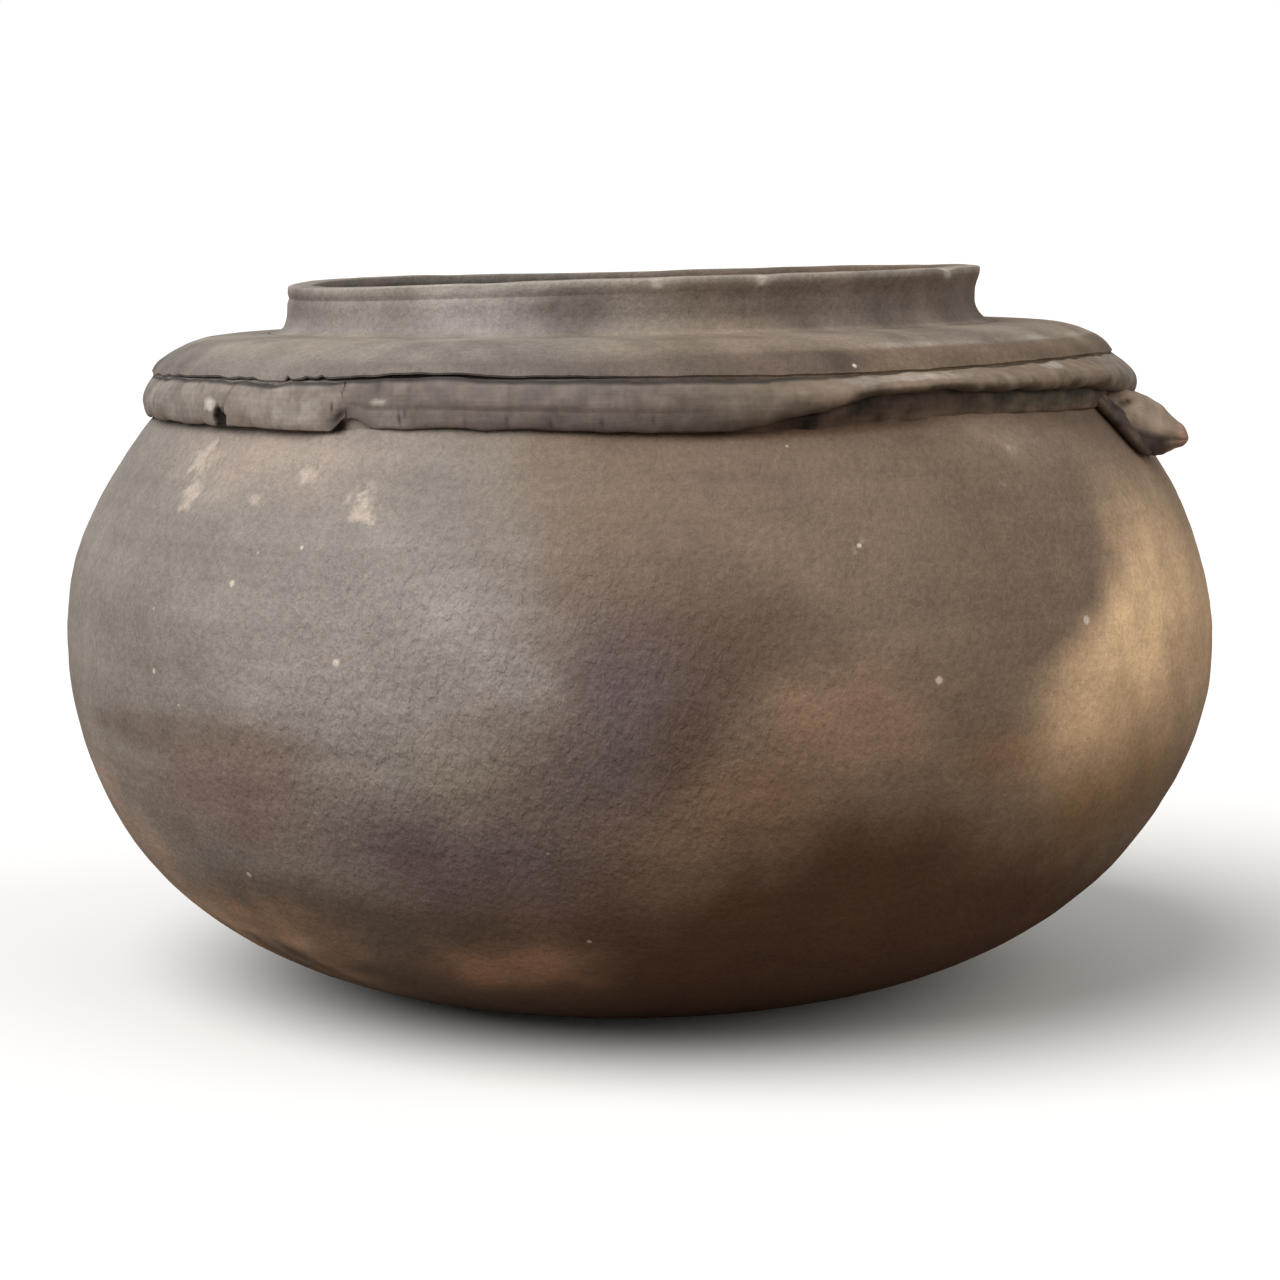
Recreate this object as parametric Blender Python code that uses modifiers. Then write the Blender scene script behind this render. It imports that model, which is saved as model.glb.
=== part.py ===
"""A wide, round-bellied earthenware pot, luted together from clay sections, with a hide strap.

The potter's sections are a beaten base bowl, a belly wall, a shoulder ledge, a neck collar and a
lip coil. Each meets the next on a slanted or stepped lute joint. Under the ledge the belly wall has
a shelf, and a hide strap is bound on that shelf: flat at the front, folded up into a roll at the
right, with its skived outer end lapped over its skived inner end at the front left. A second strip
is tucked under the roll. It runs to a hitch, which goes down beside the root of a stub tail and in
below it.

Metres, +Z up, the pot stands on Z = 0. The front is -Y, and an angle round the pot is measured from
the front towards +X, in degrees.
"""

import math

import bmesh
import bpy
import numpy as np
from mathutils import Vector

# Belly and base
BELLY_RADIUS = 0.170
BELLY_HEIGHT = 0.101
REST_RADIUS = 0.0525
WALL = 0.007
SEAM_DROP = 0.016
SHOULDER_RADIUS = 0.1421
SHOULDER_RISE = 0.0703
SHOULDER_POWER = 2.15
SHELF_DEPTH = 0.0008

# Lute joints: the slant of a bevelled seam, and the slip-filled gap between two sections
LUTE_SLANT = 0.004
LUTE_GAP = 0.0003

# Shoulder ledge
LEDGE_OVERHANG = 0.001
LEDGE_THICKNESS = 0.0100
LEDGE_ROUND = 0.0195
LEDGE_FALL = 0.0010
LEDGE_NOSE = 0.0014
ROUND_LIMIT = 0.9
REBATE_DEPTH = 0.002

# Neck and lip
NECK_RADIUS = 0.1016
NECK_HEIGHT = 0.0153
NECK_WALL = 0.0065
NECK_FLARE = 0.0028
NECK_FILLET = 0.0032
LIP_HEIGHT = 0.0042
LIP_OVERHANG = 0.0012
LIP_CROWN = 0.0016
LIP_SLANT = 0.0012

# The pot slumped as it dried: each level leans by its own angle, with the right side up, and slid left
LEDGE_LEAN = math.radians(1.42)
FOOT_LEAN = math.radians(1.0)
RIM_LEAN = math.radians(1.65)
SHOULDER_SLIP = 0.0022
BASE_SLIP = 0.0043
BASE_SLIP_POWER = 1.5

# Hide strap
STRAP_WIDTH = 0.0133
STRAP_THICKNESS = 0.004
SKIVED_THICKNESS = 0.002
ROLL_FOLD = 0.0070
ROLL_DEPTH = 0.0079
STRAP_FIT = 0.0003
SLIT_WIDTH = 0.0034
SLIT_HEIGHT = 0.0062
SLIT_LIFT = 0.0019

# Tucked strip, hitch and tail
STRIP_THICKNESS = 0.0038
STRIP_TIP = 0.0012
HITCH_WIDTH = 0.004
HITCH_THICKNESS = 0.0042
HITCH_RISE = 0.0065
TAIL_REACH = 0.0215
TAIL_FALL = 0.0045
TAIL_DROP = 0.0100
TAIL_HEIGHT = 0.0160
TAIL_WIDTH = 0.014
TAIL_ROOT_HEIGHT = 0.0140
TAIL_ROOT_WIDTH = 0.0105
TAIL_TIP_HEIGHT = 0.0052
TAIL_TIP_WIDTH = 0.008

# Angles round the pot, in degrees from the front towards the right
LAP_END = -32.0
LAP_SWEEP = 17.0
SKIVE_SWEEP = 8.0
SLIT_ANGLE = -51.5
TWIST_START = 8.0
TWIST_FULL = 34.0
TAIL_ANGLE = 74.0
UNFOLD_SWEEP = 22.0
ROLL_STOP = 125.0
FLAT_AGAIN = 195.0
HITCH_TURN = 78.0

# Facets
TURN_STEPS = 52
CURVE_STEPS = 9
STRAP_STEP = 4.0
STRIP_STEPS = 16
TAIL_STEPS = 7
HITCH_STEPS = 9
SECTION_POINTS = 12
MERGE_DISTANCE = 0.00001
CLAY_SHARP = 40.0
HIDE_SHARP = 50.0

FULL_TURN = 360.0

# Squareness of the hide's sections: 2 is an ellipse, more is squarer
FLAT_SQUARENESS = 2.8
ROLL_SQUARENESS = 2.3
STRIP_SQUARENESS = 3.2
TAIL_SQUARENESS = 2.6

# Shares along the tail, from root to tip: where it swells, where it thins, and where its blunt end starts
TAIL_SWELL = (0.05, 0.4)
TAIL_THIN = (0.35, 1.0)
TAIL_BLUNT = 0.85
BLUNT_STEPS = 4
BLUNT_TIP = 0.05

# Derived places
SEAT_RADIUS = SHOULDER_RADIUS - SHELF_DEPTH
SHELF_HEIGHT = BELLY_HEIGHT + SHOULDER_RISE
LEDGE_UNDER = SHELF_HEIGHT + STRAP_WIDTH + 2 * STRAP_FIT
LEDGE_TOP = LEDGE_UNDER + LEDGE_THICKNESS
RIM_HEIGHT = LEDGE_TOP + NECK_HEIGHT
SEAM_HEIGHT = BELLY_HEIGHT - SEAM_DROP
NECK_INNER = NECK_RADIUS - NECK_WALL
INNER_END = LAP_END - LAP_SWEEP


def smooth(value, low, high):
    """0 at low, 1 at high, with an eased rise between them."""
    share = min(1.0, max(0.0, (value - low) / (high - low)))
    return share * share * (3.0 - 2.0 * share)


def spread(low, high, count):
    """count + 1 evenly spaced values from low to high."""
    return [low + (high - low) * step / count for step in range(count + 1)]


def leaning(point):
    """Where a point of the true, upright pot lies after the slump."""
    x, y, z = point
    if z < BELLY_HEIGHT:
        return Vector((x - BASE_SLIP * (1 - z / BELLY_HEIGHT) ** BASE_SLIP_POWER, y, z))
    levels = (BELLY_HEIGHT, LEDGE_UNDER, LEDGE_TOP, RIM_HEIGHT)
    tilt = float(np.interp(z, levels, (0.0, LEDGE_LEAN, FOOT_LEAN, RIM_LEAN)))
    share = min(1.0, (z - BELLY_HEIGHT) / (LEDGE_UNDER - BELLY_HEIGHT))
    return Vector((x * math.cos(tilt) - SHOULDER_SLIP * share**2, y, z + x * math.sin(tilt)))


def around(angle, radius, height):
    """The point at an angle round the upright pot."""
    turn = math.radians(angle)
    return Vector((radius * math.sin(turn), -radius * math.cos(turn), height))


# Body profile, as radius at a height of the upright pot


def shoulder_share(height):
    """How far up from the belly line to the shelf a height is."""
    return max(0.0, (height - BELLY_HEIGHT) / SHOULDER_RISE)


def shoulder_radius(height):
    """Outside radius between the belly line and the shelf."""
    return BELLY_RADIUS - (BELLY_RADIUS - SHOULDER_RADIUS) * shoulder_share(height) ** SHOULDER_POWER


def shoulder_slope(height):
    """How much the outside radius falls there for each unit of height."""
    fall = (BELLY_RADIUS - SHOULDER_RADIUS) / SHOULDER_RISE
    return fall * SHOULDER_POWER * shoulder_share(height) ** (SHOULDER_POWER - 1)


def shoulder_inside(height):
    """Inside radius there, with the wall's thickness taken square to the surface."""
    return shoulder_radius(height) - WALL * math.hypot(1.0, shoulder_slope(height))


def bowl_radius(height, inset):
    """Radius of the bowl's quarter ellipse at a height, inset from the outside."""
    depth = (BELLY_HEIGHT - height) / (BELLY_HEIGHT - inset)
    return REST_RADIUS + (BELLY_RADIUS - REST_RADIUS - inset) * math.sqrt(1.0 - depth * depth)


def bowl_arc(top, inset, count):
    """The bowl's quarter ellipse from a height down to its floor, even in angle."""
    start = math.asin((BELLY_HEIGHT - top) / (BELLY_HEIGHT - inset))
    across = BELLY_RADIUS - REST_RADIUS - inset
    down = BELLY_HEIGHT - inset
    turns = spread(start, math.pi / 2, count)
    return [(REST_RADIUS + across * math.cos(t), BELLY_HEIGHT - down * math.sin(t)) for t in turns]


def quarter(centre, semi_axes, start, stop, count):
    """Points of an ellipse about a centre in the profile plane, between two angles in degrees."""
    turns = spread(math.radians(start), math.radians(stop), count)
    return [(centre[0] + semi_axes[0] * math.cos(t), centre[1] + semi_axes[1] * math.sin(t)) for t in turns]


# Making objects


def collection(name):
    made = bpy.data.collections.new(name)
    bpy.context.scene.collection.children.link(made)
    return made


def finish_of(name, colour, roughness):
    """A plain matt material in the piece's own colour."""
    made = bpy.data.materials.new(name)
    made.use_nodes = True
    shader = made.node_tree.nodes["Principled BSDF"]
    shader.inputs["Base Color"].default_value = (*colour, 1.0)
    shader.inputs["Roughness"].default_value = roughness
    shader.inputs["Metallic"].default_value = 0.0
    return made


def object_of(name, mesh, home):
    made = bpy.data.objects.new(name, mesh)
    home.objects.link(made)
    return made


def baked(made, name):
    """The object's mesh with its modifiers applied. The object itself is removed."""
    bpy.context.view_layer.update()
    graph = bpy.context.evaluated_depsgraph_get()
    mesh = bpy.data.meshes.new_from_object(made.evaluated_get(graph))
    mesh.name = name
    bpy.data.objects.remove(made)
    return mesh


def slumped(mesh):
    for vertex in mesh.vertices:
        vertex.co = leaning(vertex.co)
    return mesh


def dressed(mesh, material, sharp):
    """Gives a mesh its material, and smooth faces apart from edges sharper than an angle in degrees."""
    mesh.materials.clear()
    mesh.materials.append(material)
    mesh.shade_smooth()
    mesh.set_sharp_from_angle(angle=math.radians(sharp))
    return mesh


def turned_mesh(name, outline, closed, home):
    """A profile turned about Z. It runs down the outer side, and back up the inner side if closed."""
    count = len(outline)
    edges = [(i, (i + 1) % count) for i in range(count if closed else count - 1)]
    profile = bpy.data.meshes.new(name)
    profile.from_pydata([(r, 0.0, z) for r, z in outline], edges, [])
    made = object_of(name, profile, home)
    screw = made.modifiers.new("Turn", "SCREW")
    screw.axis = "Z"
    screw.steps = TURN_STEPS
    screw.render_steps = TURN_STEPS
    screw.use_merge_vertices = True
    screw.merge_threshold = MERGE_DISTANCE
    return baked(made, name)


def turned(name, outline, closed, material, home):
    mesh = slumped(turned_mesh(name, outline, closed, home))
    return object_of(name, dressed(mesh, material, CLAY_SHARP), home)


def lofted_mesh(name, rings):
    """A closed skin over rings of points that all run the same way round."""
    shape = bmesh.new()
    loops = [[shape.verts.new(point) for point in ring] for ring in rings]
    count = len(loops[0])
    for near, far in zip(loops, loops[1:]):
        for i in range(count):
            after = (i + 1) % count
            shape.faces.new((near[i], near[after], far[after], far[i]))
    shape.faces.new(loops[0])
    shape.faces.new(loops[-1])
    bmesh.ops.recalc_face_normals(shape, faces=shape.faces)
    mesh = bpy.data.meshes.new(name)
    shape.to_mesh(mesh)
    shape.free()
    return mesh


def cut(made, cutters):
    """Takes the cutters out of an object, which then holds the cut mesh."""
    for cutter in cutters:
        made.modifiers.new(cutter.name, "BOOLEAN").object = cutter
    name = made.name
    home = made.users_collection[0]
    return object_of(name, baked(made, name), home)


def helper(made):
    made.hide_render = True
    made.display_type = "WIRE"
    return made


# Clay sections


def base_bowl(material, home):
    """The beaten bowl: a flat rest, then a quarter ellipse up to the slanted lute seam."""
    outside = bowl_arc(SEAM_HEIGHT, 0.0, CURVE_STEPS + 3)
    inside = bowl_arc(SEAM_HEIGHT - LUTE_SLANT, WALL, CURVE_STEPS + 1)
    outline = [(0.0, WALL)] + inside[::-1] + outside + [(0.0, 0.0)]
    return turned("base_bowl", outline, False, material, home)


def belly_wall(material, home):
    """The wall above the bowl: the belly line, the shoulder, the strap's shelf and the ledge's seat."""
    seam = SEAM_HEIGHT + LUTE_GAP
    top = LEDGE_UNDER - LUTE_GAP
    outside = [(SEAT_RADIUS, top), (SEAT_RADIUS, SHELF_HEIGHT)]
    outside += [(shoulder_radius(z), z) for z in spread(SHELF_HEIGHT, BELLY_HEIGHT, CURVE_STEPS)]
    outside += [(bowl_radius(z, 0.0), z) for z in spread(BELLY_HEIGHT, seam, 2)[1:]]
    inside = [(bowl_radius(z, WALL), z) for z in spread(seam - LUTE_SLANT, BELLY_HEIGHT, 2)[:-1]]
    inside += [(shoulder_inside(z), z) for z in spread(BELLY_HEIGHT, SHELF_HEIGHT, CURVE_STEPS - 2)]
    inside += [(SEAT_RADIUS - WALL, top + LUTE_SLANT)]
    return turned("belly_wall", outside + inside, True, material, home)


def shoulder_ledge(material, home):
    """The flat shoulder with its rounded overhanging edge, and the rebate that takes the collar."""
    edge = SEAT_RADIUS + LEDGE_OVERHANG
    nose = LEDGE_UNDER + LEDGE_NOSE
    brow = LEDGE_TOP - LEDGE_FALL
    rebate = NECK_RADIUS + NECK_FLARE + LUTE_GAP
    step = LEDGE_TOP - REBATE_DEPTH
    outline = [(NECK_INNER, step), (rebate, step), (rebate, LEDGE_TOP)]
    run = min(LEDGE_ROUND, ROUND_LIMIT * (edge - rebate))
    outline += quarter((edge - run, nose), (run, brow - nose), 90, 0, CURVE_STEPS)
    outline += quarter((edge - LEDGE_OVERHANG / 2, nose), (LEDGE_OVERHANG / 2, LEDGE_NOSE), 0, -90, 2)[1:]
    outline += [(SEAT_RADIUS, LEDGE_UNDER), (SEAT_RADIUS - WALL, LEDGE_UNDER + LUTE_SLANT)]
    outline += [(NECK_INNER, LEDGE_UNDER + LUTE_SLANT)]
    return turned("shoulder_ledge", outline, True, material, home)


def neck_collar(material, home):
    """The upright collar, flared at its foot in the rebate, slanted on top where the lip is luted."""
    seam = RIM_HEIGHT - LIP_HEIGHT - LUTE_GAP
    foot = NECK_RADIUS + NECK_FLARE
    bottom = LEDGE_TOP - REBATE_DEPTH + LUTE_GAP
    outline = [(NECK_RADIUS + LIP_OVERHANG / 2, seam)]
    outline += [(NECK_RADIUS, (seam + LEDGE_TOP + NECK_FILLET) / 2)]
    outline += quarter((foot, LEDGE_TOP + NECK_FILLET), (NECK_FLARE, NECK_FILLET), 180, 270, 4)
    outline += [(foot, bottom), (NECK_INNER, bottom), (NECK_INNER, seam + LIP_SLANT)]
    return turned("neck_collar", outline, True, material, home)


def rim_lip(material, home):
    """The lip coil: a bead that stands out a little over the collar, rounded on top."""
    seam = RIM_HEIGHT - LIP_HEIGHT
    outer = NECK_RADIUS + LIP_OVERHANG
    middle = (outer + NECK_INNER) / 2
    brow = RIM_HEIGHT - LIP_CROWN
    outline = quarter((middle, brow), (outer - middle, LIP_CROWN), 180, 0, CURVE_STEPS - 1)
    outline += [(outer, seam + LIP_OVERHANG), (NECK_RADIUS + LIP_OVERHANG / 2, seam)]
    outline += [(NECK_INNER, seam + LIP_SLANT)]
    return turned("rim_lip", outline, True, material, home)


# Hide strap


def squared_oval(half_across, half_up, squareness):
    """A rounded section as (across, up) pairs: 2 is an ellipse, more is squarer."""
    points = []
    for step in range(SECTION_POINTS):
        turn = math.tau * (step + 0.5) / SECTION_POINTS
        right, up = math.cos(turn), math.sin(turn)
        across = half_across * math.copysign(abs(right) ** (2 / squareness), right)
        points.append((across, half_up * math.copysign(abs(up) ** (2 / squareness), up)))
    return points


def front_angle(angle):
    """The same place round the pot, from INNER_END upwards."""
    return (angle - INNER_END) % FULL_TURN + INNER_END


def folded(angle):
    """How far the strap's lower half is folded up under it, from 0 to 1."""
    place = front_angle(angle)
    opened = smooth(place, TAIL_ANGLE, TAIL_ANGLE + UNFOLD_SWEEP)
    return smooth(place, TWIST_START, TWIST_FULL) * (1 - opened)


def rolled(angle):
    """How far the strap is rolled thick, from 0 to 1."""
    place = front_angle(angle)
    return smooth(place, TWIST_START, TWIST_FULL) * (1 - smooth(place, ROLL_STOP, FLAT_AGAIN))


def strap_height(angle):
    return STRAP_WIDTH - ROLL_FOLD * folded(angle)


def strap_ring(angle, lift, thickness, grow):
    """The strap's section at an angle, lifted off its seat, grown on all sides."""
    depth = thickness + (ROLL_DEPTH - STRAP_THICKNESS) * rolled(angle)
    height = strap_height(angle)
    middle = SEAT_RADIUS + STRAP_FIT + lift + depth / 2
    level = LEDGE_UNDER - STRAP_FIT - height / 2
    squareness = FLAT_SQUARENESS + (ROLL_SQUARENESS - FLAT_SQUARENESS) * rolled(angle)
    section = squared_oval(depth / 2 + grow, height / 2 + grow, squareness)
    return [around(angle, middle + across, level + up) for across, up in section]


def strap_mesh(name, first, last, grow):
    """The strap between two angles, which fall from its outer end round by the left and the back."""
    rings = []
    for angle in spread(first, last, round((first - last) / STRAP_STEP)):
        over = 1 - smooth(-angle, -INNER_END, SKIVE_SWEEP - INNER_END)
        under = smooth(-angle, FULL_TURN - LAP_END - SKIVE_SWEEP, FULL_TURN - LAP_END)
        thickness = STRAP_THICKNESS + (SKIVED_THICKNESS - STRAP_THICKNESS) * max(over, under)
        rings.append(strap_ring(angle, over * (SKIVED_THICKNESS + STRAP_FIT), thickness, grow))
    return lofted_mesh(name, rings)


def slit_cutter(home):
    """The torn slit near the strap's outer end: a lens through the strap at its lower edge."""
    inner = SEAT_RADIUS
    outer = inner + 2 * STRAP_THICKNESS
    middle = SHELF_HEIGHT + STRAP_FIT + SLIT_LIFT
    rings = []
    for radius in (inner, outer):
        lens = squared_oval(SLIT_WIDTH / 2, SLIT_HEIGHT / 2, ROLL_SQUARENESS)
        turns = [(SLIT_ANGLE + math.degrees(across / radius), up) for across, up in lens]
        rings.append([around(angle, radius, middle + up) for angle, up in turns])
    return helper(object_of("slit_cutter", lofted_mesh("slit_cutter", rings), home))


def strap_band(material, home, cutters):
    """One strip from its torn outer end, all the way round, to its inner end under the lap."""
    mesh = strap_mesh("strap_band", LAP_END, INNER_END - FULL_TURN, 0.0)
    whole = object_of("strap_band", mesh, home)
    made = cut(whole, [slit_cutter(cutters)])
    dressed(slumped(made.data), material, HIDE_SHARP)
    return made


def strip_room(angle):
    """Height left between the shelf and the folded strap, less the fit at the strap."""
    return ROLL_FOLD * folded(angle) - STRAP_FIT


def strip_mesh(name, grow):
    """The tucked strip: a tapered tip that widens under the roll and runs to the hitch."""
    reach = TAIL_WIDTH / 2 + HITCH_WIDTH + 2 * STRAP_FIT
    stop = TAIL_ANGLE - math.degrees(reach / SHOULDER_RADIUS)
    middle = SEAT_RADIUS + STRAP_FIT + STRIP_THICKNESS / 2
    rings = []
    for angle in spread(TWIST_START, stop, STRIP_STEPS):
        room = strip_room(angle)
        if room > STRIP_TIP:
            level = SHELF_HEIGHT + STRAP_FIT + room / 2
            section = squared_oval(STRIP_THICKNESS / 2 + grow, room / 2 + grow, STRIP_SQUARENESS)
            rings.append([around(angle, middle + across, level + up) for across, up in section])
    return lofted_mesh(name, rings)


def under_strip(material, home):
    mesh = slumped(strip_mesh("under_strip", 0.0))
    return object_of("under_strip", dressed(mesh, material, HIDE_SHARP), home)


# Hitch and tail, which sit on the slope of the belly under the roll


def tail_mesh(name, grow):
    """The stub tail: it leaves the belly under the roll, swells, and tapers to a blunt tip."""
    across = around(TAIL_ANGLE + 90.0, 1.0, 0.0)
    root = around(TAIL_ANGLE, SHOULDER_RADIUS, SHELF_HEIGHT - TAIL_FALL)
    tip = around(TAIL_ANGLE, SHOULDER_RADIUS + TAIL_REACH, SHELF_HEIGHT - TAIL_DROP)
    upright = across.cross(tip - root).normalized()
    rings = []
    for share in spread(0.0, TAIL_BLUNT, TAIL_STEPS) + spread(TAIL_BLUNT, 1.0, BLUNT_STEPS)[1:]:
        swell = smooth(share, *TAIL_SWELL)
        thin = smooth(share, *TAIL_THIN)
        close = max(0.0, (share - TAIL_BLUNT) / (1 - TAIL_BLUNT))
        blunt = math.sqrt(1 + BLUNT_TIP - close * close)
        height = TAIL_ROOT_HEIGHT + (TAIL_HEIGHT - TAIL_ROOT_HEIGHT) * swell
        width = TAIL_ROOT_WIDTH + (TAIL_WIDTH - TAIL_ROOT_WIDTH) * swell
        height += (TAIL_TIP_HEIGHT - height) * thin
        width += (TAIL_TIP_WIDTH - width) * thin
        section = squared_oval(width / 2 * blunt + grow, height / 2 * blunt + grow, TAIL_SQUARENESS)
        rings.append([root.lerp(tip, share) + across * a + upright * b for a, b in section])
    return lofted_mesh(name, rings)


def hitch_route():
    """The hitch's centre line as (across, height) pairs: down beside the tail's root, and in below it."""
    side = TAIL_WIDTH / 2 + STRAP_FIT + HITCH_WIDTH / 2
    low = TAIL_FALL + TAIL_HEIGHT / 2 + HITCH_WIDTH / 2
    turn = [(-side, SHELF_HEIGHT + HITCH_RISE), (-side, SHELF_HEIGHT + HITCH_RISE / 2)]
    return turn + quarter((0.0, SHELF_HEIGHT), (side, low), 180, 180 + HITCH_TURN, HITCH_STEPS)


def hitch_mesh(name):
    """The hitch: a turn of hide that lies on the belly beside the tail's root and in below it."""
    spots = []
    outs = []
    for across, height in hitch_route():
        angle = TAIL_ANGLE + math.degrees(across / SHOULDER_RADIUS)
        radius = shoulder_radius(height)
        out = around(angle, 1.0, shoulder_slope(height)).normalized()
        spots.append(around(angle, radius, height) + out * (STRAP_FIT + HITCH_THICKNESS / 2))
        outs.append(out)
    rings = []
    for i, (spot, out) in enumerate(zip(spots, outs)):
        ahead = spots[min(i + 1, len(spots) - 1)] - spots[max(i - 1, 0)]
        side = ahead.cross(out).normalized()
        section = squared_oval(HITCH_WIDTH / 2, HITCH_THICKNESS / 2, TAIL_SQUARENESS)
        rings.append([spot + side * a + out * b for a, b in section])
    return lofted_mesh(name, rings)


def belly_cutter(home):
    """The pot's outside as a solid, grown by the fit, to seat the hitch and the tail on it."""
    outline = [(0.0, LEDGE_UNDER), (SEAT_RADIUS + STRAP_FIT, LEDGE_UNDER)]
    outline += [(SEAT_RADIUS + STRAP_FIT, SHELF_HEIGHT + STRAP_FIT)]
    for height in spread(SHELF_HEIGHT, BELLY_HEIGHT, CURVE_STEPS):
        outline.append((shoulder_radius(height) + STRAP_FIT, height + STRAP_FIT))
    outline += [(0.0, BELLY_HEIGHT)]
    return helper(object_of("belly_cutter", turned_mesh("belly_cutter", outline, False, home), home))


def roll_cutter(home):
    """The strap near the tail, grown by the fit."""
    here = TAIL_ANGLE - FULL_TURN
    mesh = strap_mesh("roll_cutter", here + UNFOLD_SWEEP, here - UNFOLD_SWEEP, STRAP_FIT)
    return helper(object_of("roll_cutter", mesh, home))


def stub_tail(material, home, cutters):
    whole = object_of("stub_tail", tail_mesh("stub_tail", 0.0), home)
    made = cut(whole, cutters)
    dressed(slumped(made.data), material, HIDE_SHARP)
    return made


def hitch_turn(material, home, cutters, seats):
    tail = helper(object_of("tail_cutter", tail_mesh("tail_cutter", STRAP_FIT), cutters))
    whole = object_of("hitch_turn", hitch_mesh("hitch_turn"), home)
    made = cut(whole, seats + [tail])
    dressed(slumped(made.data), material, HIDE_SHARP)
    return made


def main():
    for old in list(bpy.data.objects):
        bpy.data.objects.remove(old)
    pot = collection("strapped_pottery_vase")
    cutters = collection("cutters")

    sooty = finish_of("fired clay, sooty", (0.105, 0.078, 0.060), 0.85)
    dusty = finish_of("fired clay, dusty", (0.160, 0.127, 0.102), 0.85)
    pale = finish_of("fired clay, pale", (0.185, 0.150, 0.122), 0.85)
    worn = finish_of("fired clay, worn", (0.172, 0.138, 0.112), 0.82)
    chipped = finish_of("fired clay, chipped", (0.200, 0.165, 0.135), 0.82)
    hide = finish_of("hide, dusty", (0.180, 0.148, 0.120), 0.80)
    dark_hide = finish_of("hide, dark", (0.085, 0.066, 0.056), 0.80)
    brown_hide = finish_of("hide, brown", (0.150, 0.108, 0.078), 0.75)
    tan_hide = finish_of("hide, tan", (0.170, 0.115, 0.080), 0.75)

    base_bowl(sooty, pot)
    belly_wall(dusty, pot)
    shoulder_ledge(pale, pot)
    neck_collar(worn, pot)
    rim_lip(chipped, pot)
    strap_band(hide, pot, cutters)
    under_strip(dark_hide, pot)
    strip = helper(object_of("strip_cutter", strip_mesh("strip_cutter", STRAP_FIT), cutters))
    seats = [belly_cutter(cutters), roll_cutter(cutters), strip]
    stub_tail(tan_hide, pot, seats)
    hitch_turn(brown_hide, pot, cutters, seats)


main()
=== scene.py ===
import math
import bpy
import numpy as np
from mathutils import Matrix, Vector


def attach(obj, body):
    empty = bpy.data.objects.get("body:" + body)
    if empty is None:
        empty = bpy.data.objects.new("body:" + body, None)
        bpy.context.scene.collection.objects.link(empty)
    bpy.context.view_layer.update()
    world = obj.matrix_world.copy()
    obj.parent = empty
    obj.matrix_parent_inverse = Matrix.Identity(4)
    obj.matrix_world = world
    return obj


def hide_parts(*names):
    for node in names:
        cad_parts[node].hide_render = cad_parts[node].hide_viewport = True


# A wide earthenware pot, luted from clay sections, with a hide strap bound under its shoulder ledge.
# Metres, +Z up, front at -Y. An angle round the pot runs from the front towards +X, in degrees.

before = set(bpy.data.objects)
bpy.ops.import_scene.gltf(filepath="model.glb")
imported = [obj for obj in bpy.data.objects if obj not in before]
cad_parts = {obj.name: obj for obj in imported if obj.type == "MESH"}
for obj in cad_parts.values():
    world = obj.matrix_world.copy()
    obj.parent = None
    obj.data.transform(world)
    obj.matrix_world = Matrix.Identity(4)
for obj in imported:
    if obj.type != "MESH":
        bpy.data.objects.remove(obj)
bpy.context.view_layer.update()
print("frame loaded:", len(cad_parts), "nodes")

# Camera and studio

shot = {
    "aimHeight": 0.1006,
    "pitch": 6.81,           # degrees down
    "distance": 1.012,       # level distance to the pot's axis
    "sensor": 36.0,
    "lens": 94.89,
}

studio = {
    "floorSize": 60.0,
    "floorColour": (0.95, 0.95, 0.94, 1.0),
    "floorBounce": (0.27, 0.22, 0.175, 1.0),    # what the pot gets back from the floor
    "backdrop": (1.0, 1.0, 1.0, 1.0),
    "ambient": (0.96, 0.98, 1.0, 1.0),
    "ambientStrength": 0.34,
    "lamps": {               # place, power, spread in degrees, colour
        "keyLamp": ((-0.62, -0.50, 0.85), 3.0, 60, (1.0, 0.985, 0.97)),
        "fillLamp": ((0.90, -0.40, 0.50), 1.0, 70, (1.0, 0.94, 0.85)),
    },
}


def deselectAll():
    if bpy.context.object and bpy.context.object.mode != "OBJECT":
        bpy.ops.object.mode_set(mode="OBJECT")
    bpy.ops.object.select_all(action="DESELECT")


def setCamera():
    pitch = math.radians(shot["pitch"])
    height = shot["aimHeight"] + shot["distance"] * math.tan(pitch)
    place = (0, -shot["distance"], height)
    bpy.ops.object.camera_add(location=place, rotation=(math.pi / 2 - pitch, 0, 0))
    camera = bpy.context.object
    camera.name = "photoCamera"
    camera.data.sensor_width = shot["sensor"]
    camera.data.lens = shot["lens"]
    bpy.context.scene.camera = camera


def cameraSwitch(tree, others, camera, kind, socket):    # camera rays see one shader, all others another
    path = tree.nodes.new("ShaderNodeLightPath")
    mix = tree.nodes.new("ShaderNodeMixShader")
    tree.links.new(path.outputs["Is Camera Ray"], mix.inputs["Fac"])
    for slot, (colour, amount) in ((1, others), (2, camera)):
        shader = tree.nodes.new("ShaderNode" + kind)
        shader.inputs["Color"].default_value = colour
        shader.inputs[socket].default_value = amount
        tree.links.new(shader.outputs[0], mix.inputs[slot])
    return mix.outputs[0]


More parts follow.
